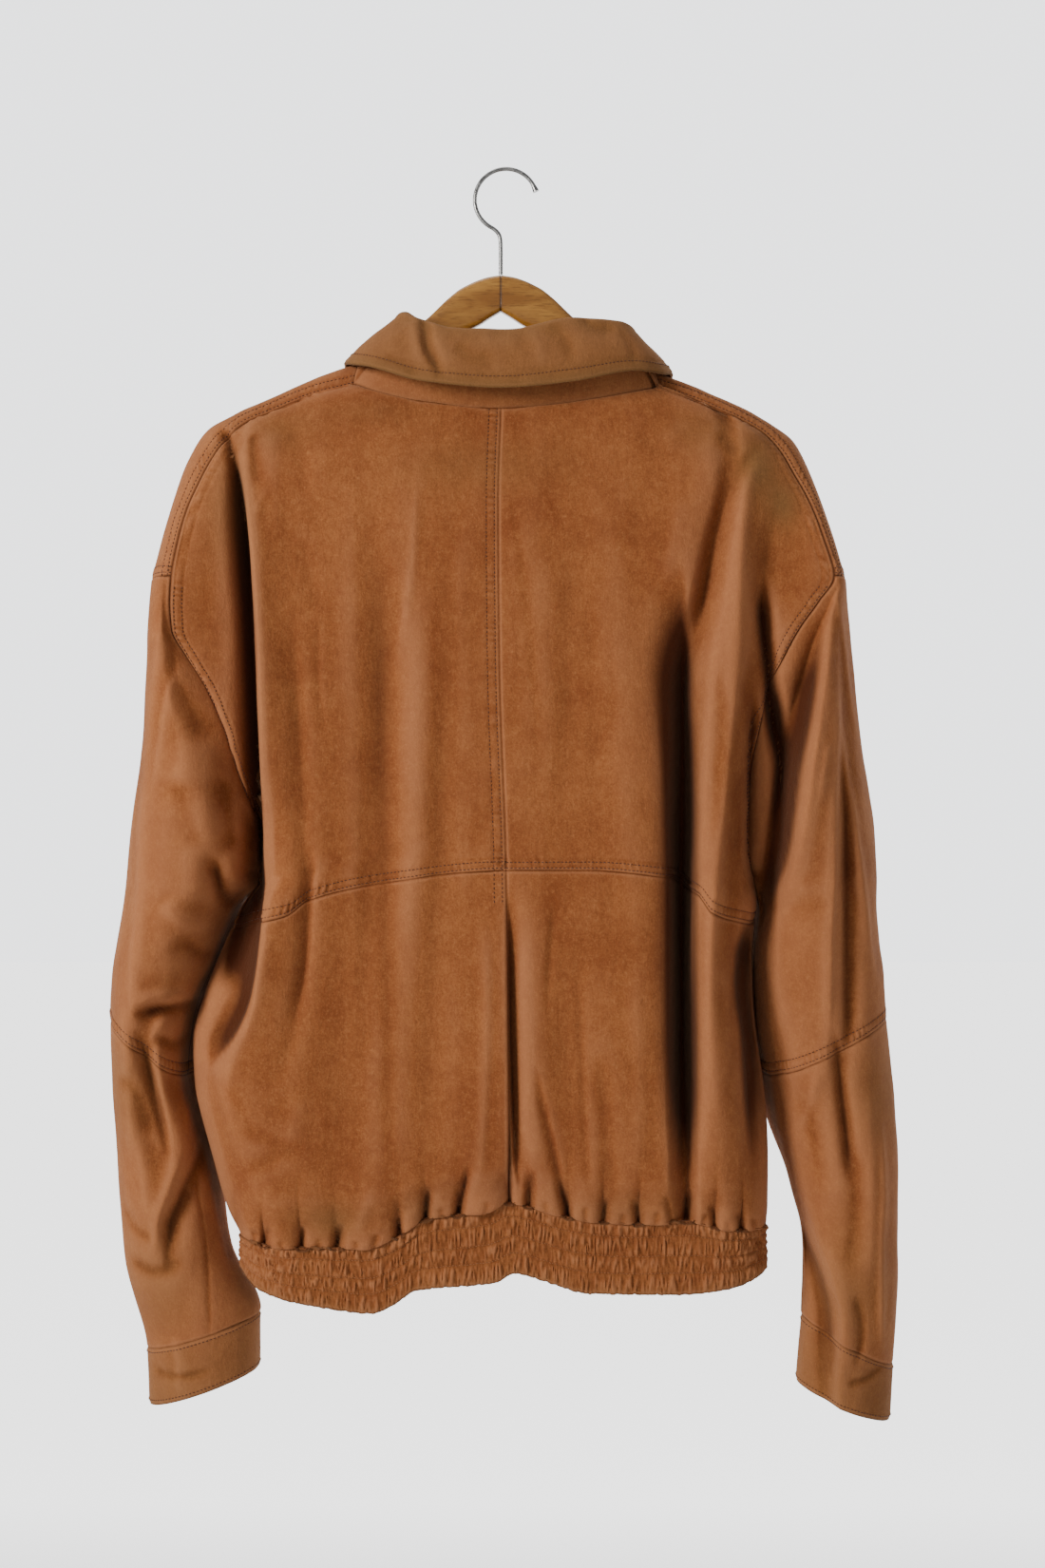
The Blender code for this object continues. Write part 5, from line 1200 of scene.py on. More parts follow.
# ---- Fronts: two plain panels of the same skin, the left lapped over the right and held by its
# buttons; each runs in one piece from the neck seam to the waistband.
NECK_FRONT = {
    "left": ((-116, 167), (-98, 188), (-66, 220), (-32, 236), (16, 242)),
    "right": ((-16, 242), (32, 236), (66, 220), (98, 188), (118, 169)),
}
FRONT_NECK_DROP, FRONT_NECK_FADE, FRONT_NECK_SHARE, FRONT_HEM_POWER = 242, 0.62, 1 / 6, 6
FRONT_STATIONS = np.concatenate([
    TOP_STATIONS, np.linspace(0.5, 26.9, 190),
    HEM_STATION - np.array((1.4, 0.5, 0)) / STATION_LENGTH["hem"],
])
FRONT_COLUMNS = 84
LAP_LIFT = 3.1  # how far the left front stands off the right one under it
FRONT_CREASES = [
    (-9, 9, 5, ((-190, 232), (-178, 300), (-170, 380), (-166, 460), (-168, 570))),
    (3, 4, 10, ((-176, 250), (-160, 330), (-152, 420), (-150, 520), (-154, 630))),
    (-4.2, 9, 7, ((-108, 290), (-112, 400), (-110, 520), (-104, 640), (-100, 760))),
    (2.2, 6, 9, ((-88, 320), (-86, 450), (-80, 600), (-82, 750))),
    (-2.6, 6, 4, ((-66, 420), (-60, 520), (-62, 640), (-57, 770))),
    (-4.5, 9, 8, ((-204, 566), (-180, 604), (-150, 630), (-128, 640))),
    (-3, 7, 6, ((-216, 650), (-184, 690), (-146, 716))),
    (1.8, 6, 6, ((-200, 700), (-164, 730), (-132, 770))),
    (-2.2, 5, 5, ((-150, 215), (-128, 240), (-100, 252))),
    (-10, 5, 9, ((188, 236), (178, 310), (170, 400), (166, 500), (172, 600))),
    (3.2, 10, 4, ((174, 262), (160, 350), (152, 440), (150, 540), (152, 650))),
    (-4.6, 7, 9, ((112, 300), (108, 410), (110, 530), (104, 650), (106, 760))),
    (2.0, 8, 6, ((88, 340), (84, 460), (86, 600), (80, 740))),
    (-2.4, 4, 6, ((62, 380), (58, 500), (64, 630), (60, 760))),
    (-4.5, 8, 9, ((196, 570), (176, 610), (148, 632), (126, 640))),
    (-3, 6, 7, ((198, 660), (170, 692), (140, 712))),
    (-2, 5, 5, ((140, 212), (116, 238), (92, 250))),
]


FRONT_SHARE, FRONT_LOWER = 0.6, 14  # of the height, and by how many millimetres


def front_of_sleeve(side):
    """The sleeve's creases as they come round on its front, a little lower and shallower."""
    return [
        (FRONT_SHARE * height, left, right, tuple((x, drop + FRONT_LOWER) for x, drop in line))
        for height, left, right, line in SLEEVE_CREASES[side]
    ]


def lapped(x, lift):
    """Lifts the left front off the right one where it lies over it."""
    lap = np.clip((x + 2 * BUTTON_STAND) / BUTTON_STAND, 0, 1)
    return lift * lap * lap * (3 - 2 * lap)


def front_rows(side):
    fine, drops, xs, _ = RAILS[side]
    edge_drop = np.interp(FRONT_STATIONS, fine, drops)[:, None]
    edge_x = np.interp(FRONT_STATIONS, fine, xs)[:, None]
    middle = -SIDES[side] * FRONT_EDGE
    down = (edge_drop - drops[0]) / (drops[-1] - drops[0])
    lag = (FRONT_NECK_DROP - drops[0]) * np.maximum(0, 1 - down / FRONT_NECK_FADE) ** 1.25
    share = np.array([across(width, FRONT_COLUMNS) for width in abs(middle - edge_x)[:, 0]])
    x = edge_x + share * (middle - edge_x)
    drop = edge_drop + share * lag
    neck_x = xs[0] + share * (middle - xs[0])
    neck_line = drops[0] + share * (FRONT_NECK_DROP - drops[0])
    neck_bow = smooth(neck_x, *zip(*NECK_FRONT[side])) - neck_line
    hem_bow = smooth(x, HEM_FRONT["x"], HEM_FRONT["drop"]) - drops[-1]
    drop = drop + np.maximum(0, 1 - down / FRONT_NECK_SHARE) * neck_bow
    drop = drop + down**FRONT_HEM_POWER * hem_bow
    y = body_depth(side, True, drop, x)
    if side == "left":
        y = y + lapped(x, LAP_LIFT)
    return np.stack([x, y, -drop], axis=2)


FRONTS = {}


def build_fronts():
    for side, sign in SIDES.items():
        laps = side == "left"
        grid = front_rows(side)
        FRONTS[side] = grid[0].copy()
        normal = outward(grid) * sign
        from_sleeve = (front_of_sleeve(side), 1, ARMHOLE_FOOT_DROP)
        grid, pressed = pressed_by(grid, normal, (FRONT_CREASES, 1, None), from_sleeve)
        rough = rumpled(grid, normal, BODY_RUMPLE, 12.3) - grid
        grid = grid + rough * off_button_stand(grid[:, :, 0])[:, :, None]
        grid = sewn(grid, normal, ("top", "start", "bottom"), ("end",) if laps else ())
        normal = outward(grid) * sign
        BODY_EDGES[side, "end"] = (FRONT_STATIONS, grid[:, 0].copy())
        cloth("front_panel_" + side, grid, "front_" + side, sign,
              pressed=pressed)
        runs = armhole_stitches(grid, normal, FRONT_STATIONS)
        if laps:
            runs += [(grid[:, k], normal[:, k]) for k in (FIRST_LINE, SECOND_LINE)]
        stitching("front_stitching_" + side, runs)


build_fronts()

# ---- Shoulder strips: a narrow panel laid over each shoulder in place of a shoulder seam,
# stitched down along both sides and across its end, where the sleeve begins.
STRIP_ROWS, STRIP_COLUMNS = 84, 45
STRIP_RUMPLE = (0.5, 26.0)
CLOSER_AT_SEAMS = 0.8  # a power below 1 draws the columns together towards both seams


def joined(grid, station, edge, body, reach=14.0):
    """Draws one edge of a sleeve or strip onto the body's own edge, found station by station."""
    column = 0 if edge == "start" else -1
    at, points = body
    target = np.stack([np.interp(station, at, points[:, i]) for i in range(3)], axis=1)
    rows = len(station)
    fade = np.exp(-((from_edges(grid)[edge][:rows] / reach) ** 2))
    grid[:rows] += (target - grid[:rows, column])[:, None] * fade[:, :, None]
    return grid


def build_strips():
    station = np.arange(STRIP_END + 1)
    fine = np.concatenate([
        (0, 0.03, 0.08, 0.15, 0.3), np.linspace(0.4, 7.6, STRIP_ROWS),
        STRIP_END - NEAR_SEAM[:-4][::-1] / STATION_LENGTH["strip end"],
    ])
    turn = np.linspace(-1, 1, STRIP_COLUMNS)
    turn = np.sign(turn) * abs(turn) ** CLOSER_AT_SEAMS * np.pi / 2
    up, over = np.cos(turn)[None], np.sin(turn)[None]
    for side, sign in SIDES.items():
        at = {
            name: smooth(fine, station, values)[:, None] for name, values in SHOULDER[side].items()
        }
        x = at["seam_x"] + (at["ridge_x"] - at["seam_x"]) * up
        drop = at["seam_drop"] + (at["ridge_drop"] - at["seam_drop"]) * up
        grid = np.stack([x, at["depth"] * over + 0 * x, -drop], axis=2)
        normal = outward(grid) * sign
        grid = rumpled(grid, normal, STRIP_RUMPLE, 5.5)
        grid = sewn(grid, normal, ("top", "bottom", "start", "end"), ("start", "end", "bottom"))
        for edge in ("start", "end"):
            grid = joined(grid, fine, edge, BODY_EDGES[side, edge], reach=9.0)
        normal = outward(grid) * sign
        cloth("shoulder_panel_" + side, grid, "shoulder_strip_" + side, sign, soil=soil_of_back)
        away = from_edges(grid)
        runs = [
            along_edge(grid, normal, away[edge], row, edge == "end")
            for edge in ("start", "end") for row in STITCH_ROWS
        ]
        runs += [(grid[k], normal[k]) for k in (FIRST_LINE, SECOND_LINE + 1)]
        stitching("shoulder_stitching_" + side, runs)


build_strips()

# ---- Sleeves: full dropped sleeves set into low armholes, each in two tubes of suede joined by
# a slanting seam at the elbow with two rows of stitches above it.
SLEEVE = {
    "left": table(
        "drop slant outer inner middle half",
        (315, 0, -270, -248, 0, 50), (380, 0, -274, -236, 0, 56), (452, 0, -278, -204, 0, 60),
        (505, 0, -286, -188, 0, 62), (545, 0, -290, -190, 0, 62), (562, 2, -292, -206, 1, 60),
        (597, 8, -297, -223, 2, 58), (631, 15, -301, -239, 3, 56), (671, 22, -302, -244.5, 4, 54),
        (705, 18, -301, -238, 5, 50), (761, 8, -298, -225, 6, 48), (830, -4, -292, -213, 8, 44),
        (889, -13, -276, -189, 9, 38), (931, -14, -274, -189, 9, 36),
    ),
    "right": table(
        "drop slant outer inner middle half",
        (315, 0, 259, 245, 0, 50), (380, 0, 266, 206, 0, 56), (452, 0, 274, 187, 0, 60),
        (505, 0, 282, 184, 0, 62), (545, 0, 284, 190, 0, 62), (562, 2, 284, 195, 1, 60),
        (597, 8, 286, 191, 2, 58), (631, 15, 290, 193, 3, 56), (671, 22, 292, 201, 4, 54),
        (705, 18, 296, 206, 5, 50), (761, 8, 301, 217, 6, 48), (830, -6, 302, 229, 8, 44),
        (897, -18, 298, 228, 9, 38), (943, -14, 296, 224, 9, 36),
    ),
}
ELBOW_DROP = 671
CUFF_TOP = {"left": 889, "right": 897}
SLEEVE_FOLD_DROPS = (320, 380, 450, 545, 600, 660, 720, 800, 880)
SLEEVE_FOLDS = {
    "left": (
        ((-250, -245, -215, -204, -232, -257, -250, -230, -206), (0, -2, -5, -4, 3, 3, 2, 2, 1)),
        ((-253, -253, -239, -236, -252, -267, -266, -252, -235), (1, 3, 5, 5, 4, -4, -5, 2, 1)),
        ((-258, -261, -266, -273, -277, -284, -284, -278, -262), (2, 4, 5, 6, 6, 5, 4, 3, 1)),
    ),
    "right": (
        ((248, 224, 207, 196, 195, 206, 211, 226, 240), (0, -8, -17, -12, -4, -3, -3, -4, -4)),
        ((250, 234, 222, 205, 203, 214, 219, 233, 252), (0, 7, 11, 9, 6, 5, 5, 6, 7)),
        ((254, 250, 252, 255, 256, 257, 263, 275, 280), (1, 3, 4, 4, 3, 3, 3, 3, 2)),
    ),
}
SLEEVE_COLUMNS = (84, 60)  # round its back and round its front
LEAST_TURN_SHARE = 0.1
# The sleeve's inner side leans in towards the body in front of its seam, between these drops.
LEAN, LEAN_ENDS = 11.0, {"left": 860, "right": 770}
LEAN_STARTS, LEAN_FULL = 540, (575, 690)
LEAN_Y, LEAN_REACH = 30, 15
# the sleeves' rumpling, and how much lighter their colour is made all over
SLEEVE_RUMPLE, SLEEVE_LIGHTENED = (1.0, 30.0), 0.28
SLEEVE_ROLL_REACH = 1.3


def sleeve_rows(side, drops, seam_depth=0.0, seam_x=np.nan):
    """Rows round a sleeve, from its back seam over the outer edge to its front seam. Down the
    armhole the seam's place is given; below it the sleeve is a closed tube."""
    data, sign = SLEEVE[side], SIDES[side]
    outer, slant, middle, half, inner = (
        smooth(drops, data["drop"], data[name])
        for name in ("outer", "slant", "middle", "half", "inner")
    )
    inner = np.where(np.isnan(seam_x), inner, seam_x)
    half = np.maximum(half, seam_depth)
    inner_cos = np.sqrt(1 - (seam_depth / half) ** 2)
    half_width = (outer - inner) * sign / (1 + inner_cos)
    centre_x = outer - sign * half_width
    first = np.arccos(inner_cos)
    knots, heights = [np.zeros(len(drops))], [np.zeros(len(drops))]
    for number, (line_x, line_rise) in enumerate(SLEEVE_FOLDS[side]):
        at = smooth(drops, SLEEVE_FOLD_DROPS, line_x)
        cos = np.clip(-sign * (at - centre_x) / half_width, -1, 1)
        share = (np.arccos(cos) - first) / (math.pi - first)
        share = np.maximum(share, np.maximum(knots[-1] + LEAST_TURN_SHARE, LEAST_TURN_SHARE))
        knots.append(np.minimum(share, 1 - LEAST_TURN_SHARE * (3 - number)))
        heights.append(smooth(drops, SLEEVE_FOLD_DROPS, line_rise))
    knots.append(np.ones(len(drops)))
    heights.append(np.zeros(len(drops)))
    girth = np.pi * (half + half_width) / 2
    back, front = (
        np.array([across(length, columns, end=False) for length in girth])
        for columns in SLEEVE_COLUMNS
    )
    front = front[:, ::-1]
    knots, heights = (np.array(rows)[:, :, None] + 0 * back[None] for rows in (knots, heights))
    rise = smooth(back, knots, heights)
    share = np.concatenate([back, front[:, 1:]], axis=1)
    lift = np.concatenate([rise, 0 * front[:, 1:]], axis=1)
    facing = np.concatenate([-np.ones(back.shape[1]), np.ones(front.shape[1] - 1)])
    angle = first[:, None] + share * (math.pi - first[:, None])
    x = centre_x[:, None] - sign * half_width[:, None] * np.cos(angle)
    y = middle[:, None] + facing[None] * (half[:, None] + lift) * np.sin(angle)
    z = -(drops[:, None] + slant[:, None] * np.cos(angle))
    lean = smooth(drops, (LEAN_STARTS, *LEAN_FULL, LEAN_ENDS[side]), (0, 1, 1, 0))[:, None]
    near = np.clip(1.9 - angle / 0.7, 0, 1)
    x = x - sign * LEAN * lean * near * np.exp(-(((y - LEAN_Y) / LEAN_REACH) ** 2))
    return np.stack([x, y, z], axis=2)


def upper_sleeve_rows(side):
    """From the end of the shoulder strip, down the armhole, to the elbow seam."""
    fine, drops, xs, depths = RAILS[side]
    near_top = NEAR_SEAM[:-4] / STATION_LENGTH["armhole top"]
    station = np.concatenate([STRIP_END + near_top, np.linspace(8.7, 17, 70)])
    drop = np.interp(station, fine, drops)
    depth = np.interp(station, fine, depths)
    clear = np.interp(drop, (505, 530), (0, 0.5))  # eases off the side seam towards the foot
    x = np.interp(station, fine, xs) + SIDES[side] * clear
    below = np.concatenate([np.linspace(548, ELBOW_DROP - 15, 54), ELBOW_DROP - NEAR_SEAM[::-1]])
    open_rows = len(drop)
    drop = np.concatenate([drop, below])
    depth = np.concatenate([depth, np.zeros(len(below))])
    x = np.concatenate([x, np.full(len(below), np.nan)])
    return sleeve_rows(side, drop, depth, x), open_rows, station


SLEEVE_SOIL = (
    # strength, middle as distance from the centre and drop, spread across and down
    (0.35, (285, 700), (30, 40)), (0.4, (262, 850), (30, 50)),
)


def soil_of_sleeve(grid):
    """Grime round the elbow and near the cuff."""
    out, drop = abs(grid[:, :, 0]), -grid[:, :, 2]
    total = np.zeros(out.shape)
    for strength, (middle, middle_drop), (wide, high) in SLEEVE_SOIL:
        down = np.exp(-(((drop - middle_drop) / high) ** 2))
        total += strength * down * np.exp(-(((out - middle) / wide) ** 2))
    return np.clip(total, 0, 1)


def closed(grid, like, first_row=0):
    """Makes the first and last columns one from first_row down, as they were in the like grid."""
    grid[first_row:, 0] = grid[first_row:, -1] = like[first_row:, 0]
    return grid


def build_sleeves():
    for side, sign in SIDES.items():
        on_back, on_front = (SLEEVE_CREASES[side], -1, None), (front_of_sleeve(side), 1, None)
        from_back = (BACK_CREASES, -1, ARMHOLE_FOOT_DROP)
        from_front = (FRONT_CREASES, 1, ARMHOLE_FOOT_DROP)
        grid, open_rows, station = upper_sleeve_rows(side)
        normal = outward(grid) * sign
        plain, pressed = pressed_by(grid, normal, on_back, from_back, from_front, on_front)
        grid = closed(rumpled(plain, normal, SLEEVE_RUMPLE, 21.0), plain, open_rows)
        grid = sewn(grid, normal, ("top", "bottom"), ("bottom",))
        away = from_edges(grid)
        for edge in ("start", "end"):
            roll = ROLL * np.exp(-((away[edge] / SLEEVE_ROLL_REACH) ** 2))
            roll[open_rows:] = 0
            grid = grid - normal * roll[:, :, None]
            grid = joined(grid, station, edge, BODY_EDGES[side, edge])
        grid = closed(grid, grid, open_rows)
        normal = outward(grid) * sign
        cloth("sleeve_upper_" + side, grid, "sleeve_upper_" + side, sign, soil=soil_of_sleeve,
              pressed=pressed, lightened=SLEEVE_LIGHTENED)
        runs = [(grid[k], normal[k]) for k in (FIRST_LINE, SECOND_LINE)]

        drops = np.concatenate([
            ELBOW_DROP + NEAR_SEAM[:4], np.linspace(ELBOW_DROP + 6, CUFF_TOP[side] - 15.5, 84),
            CUFF_TOP[side] - NEAR_SEAM[::-1],
        ])
        grid = sleeve_rows(side, drops)
        normal = outward(grid, True) * sign
        plain, pressed = pressed_by(grid, normal, on_back, on_front)
        grid = closed(rumpled(plain, normal, SLEEVE_RUMPLE, 33.0), plain)
        grid = sewn(grid, normal, ("top", "bottom"))
        grid = closed(grid, grid)
        cloth("sleeve_lower_" + side, grid, "sleeve_lower_" + side, sign, wrap=True,
              soil=soil_of_sleeve, pressed=pressed, lightened=SLEEVE_LIGHTENED)
        stitching("sleeve_stitching_" + side, runs)


build_sleeves()

# ---- Cuffs: a plain band of doubled suede on each sleeve, stitched along both edges and closed by
# one button on its front.
CUFF_BOTTOM = {"left": 931, "right": 943}
CUFF_RUMPLE, CUFF_FADED = (0.7, 24.0), 0.2
CUFF_SOIL_TOP, CUFF_SOIL_MORE = 0.25, 0.35


def soil_of_cuff(grid):
    """Grime that grows towards the wrist."""
    drop = -grid[:, :, 2]
    down = (drop - drop.min()) / (drop.max() - drop.min())
    return np.clip(CUFF_SOIL_TOP + CUFF_SOIL_MORE * down, 0, 1)


def build_cuffs():
    for side, sign in SIDES.items():
        top, bottom = CUFF_TOP[side], CUFF_BOTTOM[side]
        drops = np.concatenate([
            top + NEAR_SEAM[:10], np.linspace(top + 12, bottom - 8, 16),
            bottom - NEAR_SEAM[:7][::-1],
        ])
        grid = sleeve_rows(side, drops)
        normal = outward(grid, True) * sign
        plain = creased(grid, normal, SLEEVE_CREASES[side], -1)
        grid = closed(rumpled(plain, normal, CUFF_RUMPLE, 41.0), plain)
        grid = sewn(grid, normal, ("top", "bottom"))
        grid = closed(grid, grid)
        cloth("cuff_band_" + side, grid, "cuff_" + side, sign, wrap=True, soil=soil_of_cuff,
              lightened=CUFF_FADED)
        normal = outward(grid, True) * sign
        stitching("cuff_stitching_" + side, [(grid[k], normal[k]) for k in (4, FIRST_LINE)])


build_cuffs()

# ---- Collar: a stand sewn into the neck seam and a fall that turns down over it from the crease,
# both of doubled suede, the fall topstitched near its free edge.
CREASE = table(
    "turn x y drop",
    (-180, -12, 39, 222), (-140, -52, 34, 180), (-110, -80, 22, 140), (-90, -84, 0, 119),
    (-75, -79, -22, 113), (-60, -68, -35, 119), (-30, -36, -43, 129), (0, 2, -44, 130),
    (30, 50, -42, 121), (60, 84, -36, 122), (75, 96, -22, 124), (90, 100, 0, 131),
    (110, 94, 22, 149), (140, 58, 34, 184), (180, 12, 39, 222),
)
FALL_EDGE = table(
    "turn x y drop",
    (-180, -58, 56, 290), (-165, -80, 54, 258), (-140, -102, 47, 206), (-110, -122, 22, 160),
    (-90, -124, 0, 147), (-75, -118, -27, 152), (-60, -100, -44, 158), (-30, -58, -55, 171),
    (0, -3, -58, 176), (30, 50, -56, 171), (60, 99, -46, 161), (75, 121, -29, 160),
    (90, 129, 0, 155), (110, 126, 22, 168), (140, 105, 47, 210), (165, 82, 54, 258),
    (180, 60, 56, 290),
)
COLLAR_END = 12
COLLAR_CREASES = [
    (-4.6, 3.5, 3, ((-63, 112), (-60, 130), (-58, 144), (-50, 160), (-45, 172))),
    (2.0, 3, 7, ((-54, 118), (-50, 140), (-38, 160))),
    (1.6, 6, 3, ((-70, 118), (-66, 138), (-58, 160))),
    (-1.8, 6, 6, ((-38, 142), (-24, 153), (-4, 156))),
    (1.2, 6, 6, ((-20, 136), (-4, 142), (14, 140))),
    (-2.6, 5, 5, ((56, 118), (68, 130), (86, 131))),
    (-1.8, 5, 5, ((32, 126), (44, 140), (52, 158))),
    (1.4, 6, 6, ((16, 130), (26, 146), (28, 164))),
    (-1.6, 4, 5, ((84, 128), (94, 142), (98, 158))),
    (-1.2, 4, 4, ((-92, 150), (-76, 158), (-62, 168))),
]


# The neck seam is counted in turns: degrees round the neck, 0 at the middle of the back.
NECK_TURNS = np.concatenate([
    np.linspace(-180, -110, 60), np.linspace(-109, -70, 26), np.linspace(-69, 69, 110),
    np.linspace(70, 109, 26), np.linspace(110, 180, 60),
])


def neck_points():
    """The neck seam from the left front edge round the back to the right front edge."""
    fronts, arcs, backs = {}, {}, {}
    for side, sign in SIDES.items():
        row = FRONTS[side]
        out = row[:, 0] * sign
        end = [np.interp(COLLAR_END, out[::-1], row[::-1, i]) for i in (1, 2)]
        fronts[side] = np.concatenate([row[out > COLLAR_END + 0.5], [[COLLAR_END * sign, *end]]])
        strip = {name: values[0] for name, values in SHOULDER[side].items()}
        turn = np.radians(np.linspace(-90, 90, 25))
        x = strip["seam_x"] + (strip["ridge_x"] - strip["seam_x"]) * np.cos(turn)
        drop = strip["seam_drop"] + (strip["ridge_drop"] - strip["seam_drop"]) * np.cos(turn)
        arcs[side] = np.stack([x, strip["depth"] * np.sin(turn), -drop], axis=1)
        backs[side] = back_rows(side, True)[0]
    parts = (
        (fronts["left"][::-1], -180, -105), (arcs["left"][::-1][1:-1], -104, -76),
        (backs["left"][:-1], -75, -1), (backs["right"][::-1], 0, 75),
        (arcs["right"][1:-1], 76, 104), (fronts["right"], 105, 180),
    )
    points = np.concatenate([part for part, _, _ in parts])
    turns = np.concatenate([spaced(part, first, last) for part, first, last in parts])
    return np.stack([np.interp(NECK_TURNS, turns, points[:, i]) for i in range(3)], axis=1)


def spaced(part, first, last):
    """Turns for the points of a stretch, in step with the cloth's length."""
    run = np.concatenate([[0], np.cumsum(np.linalg.norm(np.diff(part, axis=0), axis=1))])
    return first + (last - first) * run / run[-1]


def ring(line):
    """The points of a line round the neck, one for each of its turns."""
    x, y, drop = (smooth(NECK_TURNS, line["turn"], line[name]) for name in ("x", "y", "drop"))
    return np.stack([x, y, -drop], axis=1)


def level_outward(points):
    """Level directions that point out of a ring."""
    along = np.gradient(points, axis=0)
    out = np.stack([-along[:, 1], along[:, 0], np.zeros(len(points))], axis=1)
    out /= np.linalg.norm(out, axis=1, keepdims=True)
    return out * (1 if ((points - points.mean(axis=0)) * out).sum() > 0 else -1)


# Skin grease: all over, more along the crease and the free edge, as strength and reach.
COLLAR_SOIL, CREASE_SOIL, FREE_EDGE_SOIL = 0.6, (0.3, 14), (0.35, 9)
STAND_SOIL, STAND_FADED = 0.1, 0.3
COLLAR_RUMPLE = (0.7, 26.0)
# The stand's foot is tucked inside and under the neck seam, but stands just over the strips.
STAND_INSIDE, STAND_OVER, STAND_SINK = 2.7, 0.9, 2.1
STAND_TOP_IN, STAND_TOP_BELOW = 1.9, 4.4
STAND_ROWS = (0, 0.03, 0.07, 0.12, 0.2, 0.3, 0.4, 0.5, 0.6, 0.7, 0.8, 0.9, 1.0)
# The turn of the cloth over the crease, out of it and up, then the fall, which bellies out.
CROWN = (
    (-4.0, 0.0), (-3.6, 0.25), (-2.4, 0.2), (-0.6, -0.15), (0.9, -0.9), (2.0, -2.0), (2.6, -3.4)
)
FALL_ROWS, FALL_BELLY = 14, 3.0
FALL_GROOVE, FALL_GROOVE_PLACE, FALL_GROOVE_REACH = 0.4, 9.5, 1.2


def soil_of_collar(grid):
    away = from_edges(grid)
    soil = COLLAR_SOIL
    for edge, (strength, reach) in (("top", CREASE_SOIL), ("bottom", FREE_EDGE_SOIL)):
        soil = soil + strength * np.exp(-((away[edge] / reach) ** 2))
    return np.clip(soil, 0, 1)


def soil_of_stand(grid):
    return np.full(grid.shape[:2], STAND_SOIL)


def sign_of(grid, normal):
    """1 where the normals point out of the ring, -1 where they point into it."""
    return 1 if (normal[:, :, 1] * grid[:, :, 1]).sum() > 0 else -1


def build_collar():
    neck, crease, edge = neck_points(), ring(CREASE), ring(FALL_EDGE)
    out, up = level_outward(crease), np.array([0, 0, 1.0])
    tucked = np.clip((abs(abs(NECK_TURNS) - 90) - 15) / 15, 0, 1)[:, None]
    foot = neck - level_outward(neck) * STAND_INSIDE * tucked
    foot = foot + up * (STAND_OVER - STAND_SINK * tucked)
    top = crease - out * STAND_TOP_IN - up * STAND_TOP_BELOW
    grid = np.array([foot + (top - foot) * share for share in STAND_ROWS])
    grid = sewn(grid, -outward(grid), ("top",))
    cloth("collar_stand", grid, "collar_stand", -1, soil=soil_of_stand,
          lightened=STAND_FADED)

    rows = [crease + out * across_it + up * rise for across_it, rise in CROWN]
    over = rows[-1]
    shares = np.concatenate([np.linspace(0.05, 0.7, FALL_ROWS), 1 - NEAR_SEAM[::-1] / 48])
    for share in shares:
        belly = out * FALL_BELLY * math.sin(math.pi * share)
        rows.append(over + (edge - over) * share + belly)
    grid = np.array(rows)
    normal = outward(grid)
    normal *= sign_of(grid, normal)
    grid = creased(grid, normal, COLLAR_CREASES, -1)
    grid = rumpled(grid, normal, COLLAR_RUMPLE, 51.0)
    grid = sewn(grid, normal, ("bottom",))
    off = (from_edges(grid)["bottom"] - FALL_GROOVE_PLACE) / FALL_GROOVE_REACH
    grid = grid - normal * (FALL_GROOVE * np.exp(-(off**2)))[:, :, None]
    normal = outward(grid)
    sign = sign_of(grid, normal)
    cloth("collar_fall", grid, "collar_fall", sign, soil=soil_of_collar)
    stitching("collar_stitching", [(grid[SECOND_LINE], normal[SECOND_LINE] * sign)])


build_collar()

# ---- Waistband: a doubled strip of suede over wide elastic, ruched by three rows of stitches that
# draw it into fine upright puckers; it opens at the front with the fronts.
BAND_BOTTOM_BACK = table(
    "x drop", (-203, 838), (-186, 850), (-135, 862), (-100, 866), (-84, 860), (-67, 849),
    (-7, 843), (7, 836), (30, 842), (62, 851), (127, 852), (169, 848), (200, 840),
)
BAND_BOTTOM_FRONT = table("x drop", (-203, 838), (-120, 850), (0, 848), (120, 850), (200, 840))
BAND_HEIGHT = 35
BAND_STITCH_SHARES = (0.19, 0.47, 0.71)
BAND_ROWS = np.concatenate([[0, 0.015, 0.035], np.linspace(0.07, 0.95, 30), [0.975, 0.99, 1.0]])
BAND_FULLNESS = 1.12  # its columns follow the ruches, so there are more of them than its width asks
RUCHE_RISE, RUCHE_LOWER, RUCHE_GROOVE = 1.5, 0.7, 0.6
RUCHE_FLAT, RUCHE_SWELL = 0.25, 0.55
WOBBLE, ENDS_LIE_FLAT, WOBBLE_ENDS = 0.8, 4, 6
BAND_SOIL, BAND_EDGE_SOIL, BAND_SOIL_REACH = 0.08, 0.3, 6
PALE_THREAD = thread("pale_thread", (0.36, 0.135, 0.045))


def ruched(run, share, seed):
    """Height of the fine puckers at lengths along the band and a share of the way down it."""
    strips = (0.0, *BAND_STITCH_SHARES, 1.0)
    k = np.searchsorted(strips, share, side="right") - 1
    k = min(max(int(k), 0), len(strips) - 2)
    inside = min(max((share - strips[k]) / (strips[k + 1] - strips[k]), 0), 1)
    swell = math.sin(math.pi * inside) ** RUCHE_SWELL
    height = np.array([
        2.3 * abs(noise.noise((r / 2.9 + 0.5 * inside, 0.8 * inside + 1.7 * k, seed)))
        + 1.3 * abs(noise.noise((r / 1.6, 1.6 * inside + 2.9 * k, seed + 9)))
        + 0.9 * noise.noise((r / 15.0, 0.4 * k, seed + 4)) for r in run
    ])
    groove = sum(math.exp(-(((share - s) * 50 / 1.2) ** 2)) for s in BAND_STITCH_SHARES)
    height = RUCHE_RISE * (height - RUCHE_LOWER) * (RUCHE_FLAT + (1 - RUCHE_FLAT) * swell)
    return height - RUCHE_GROOVE * groove


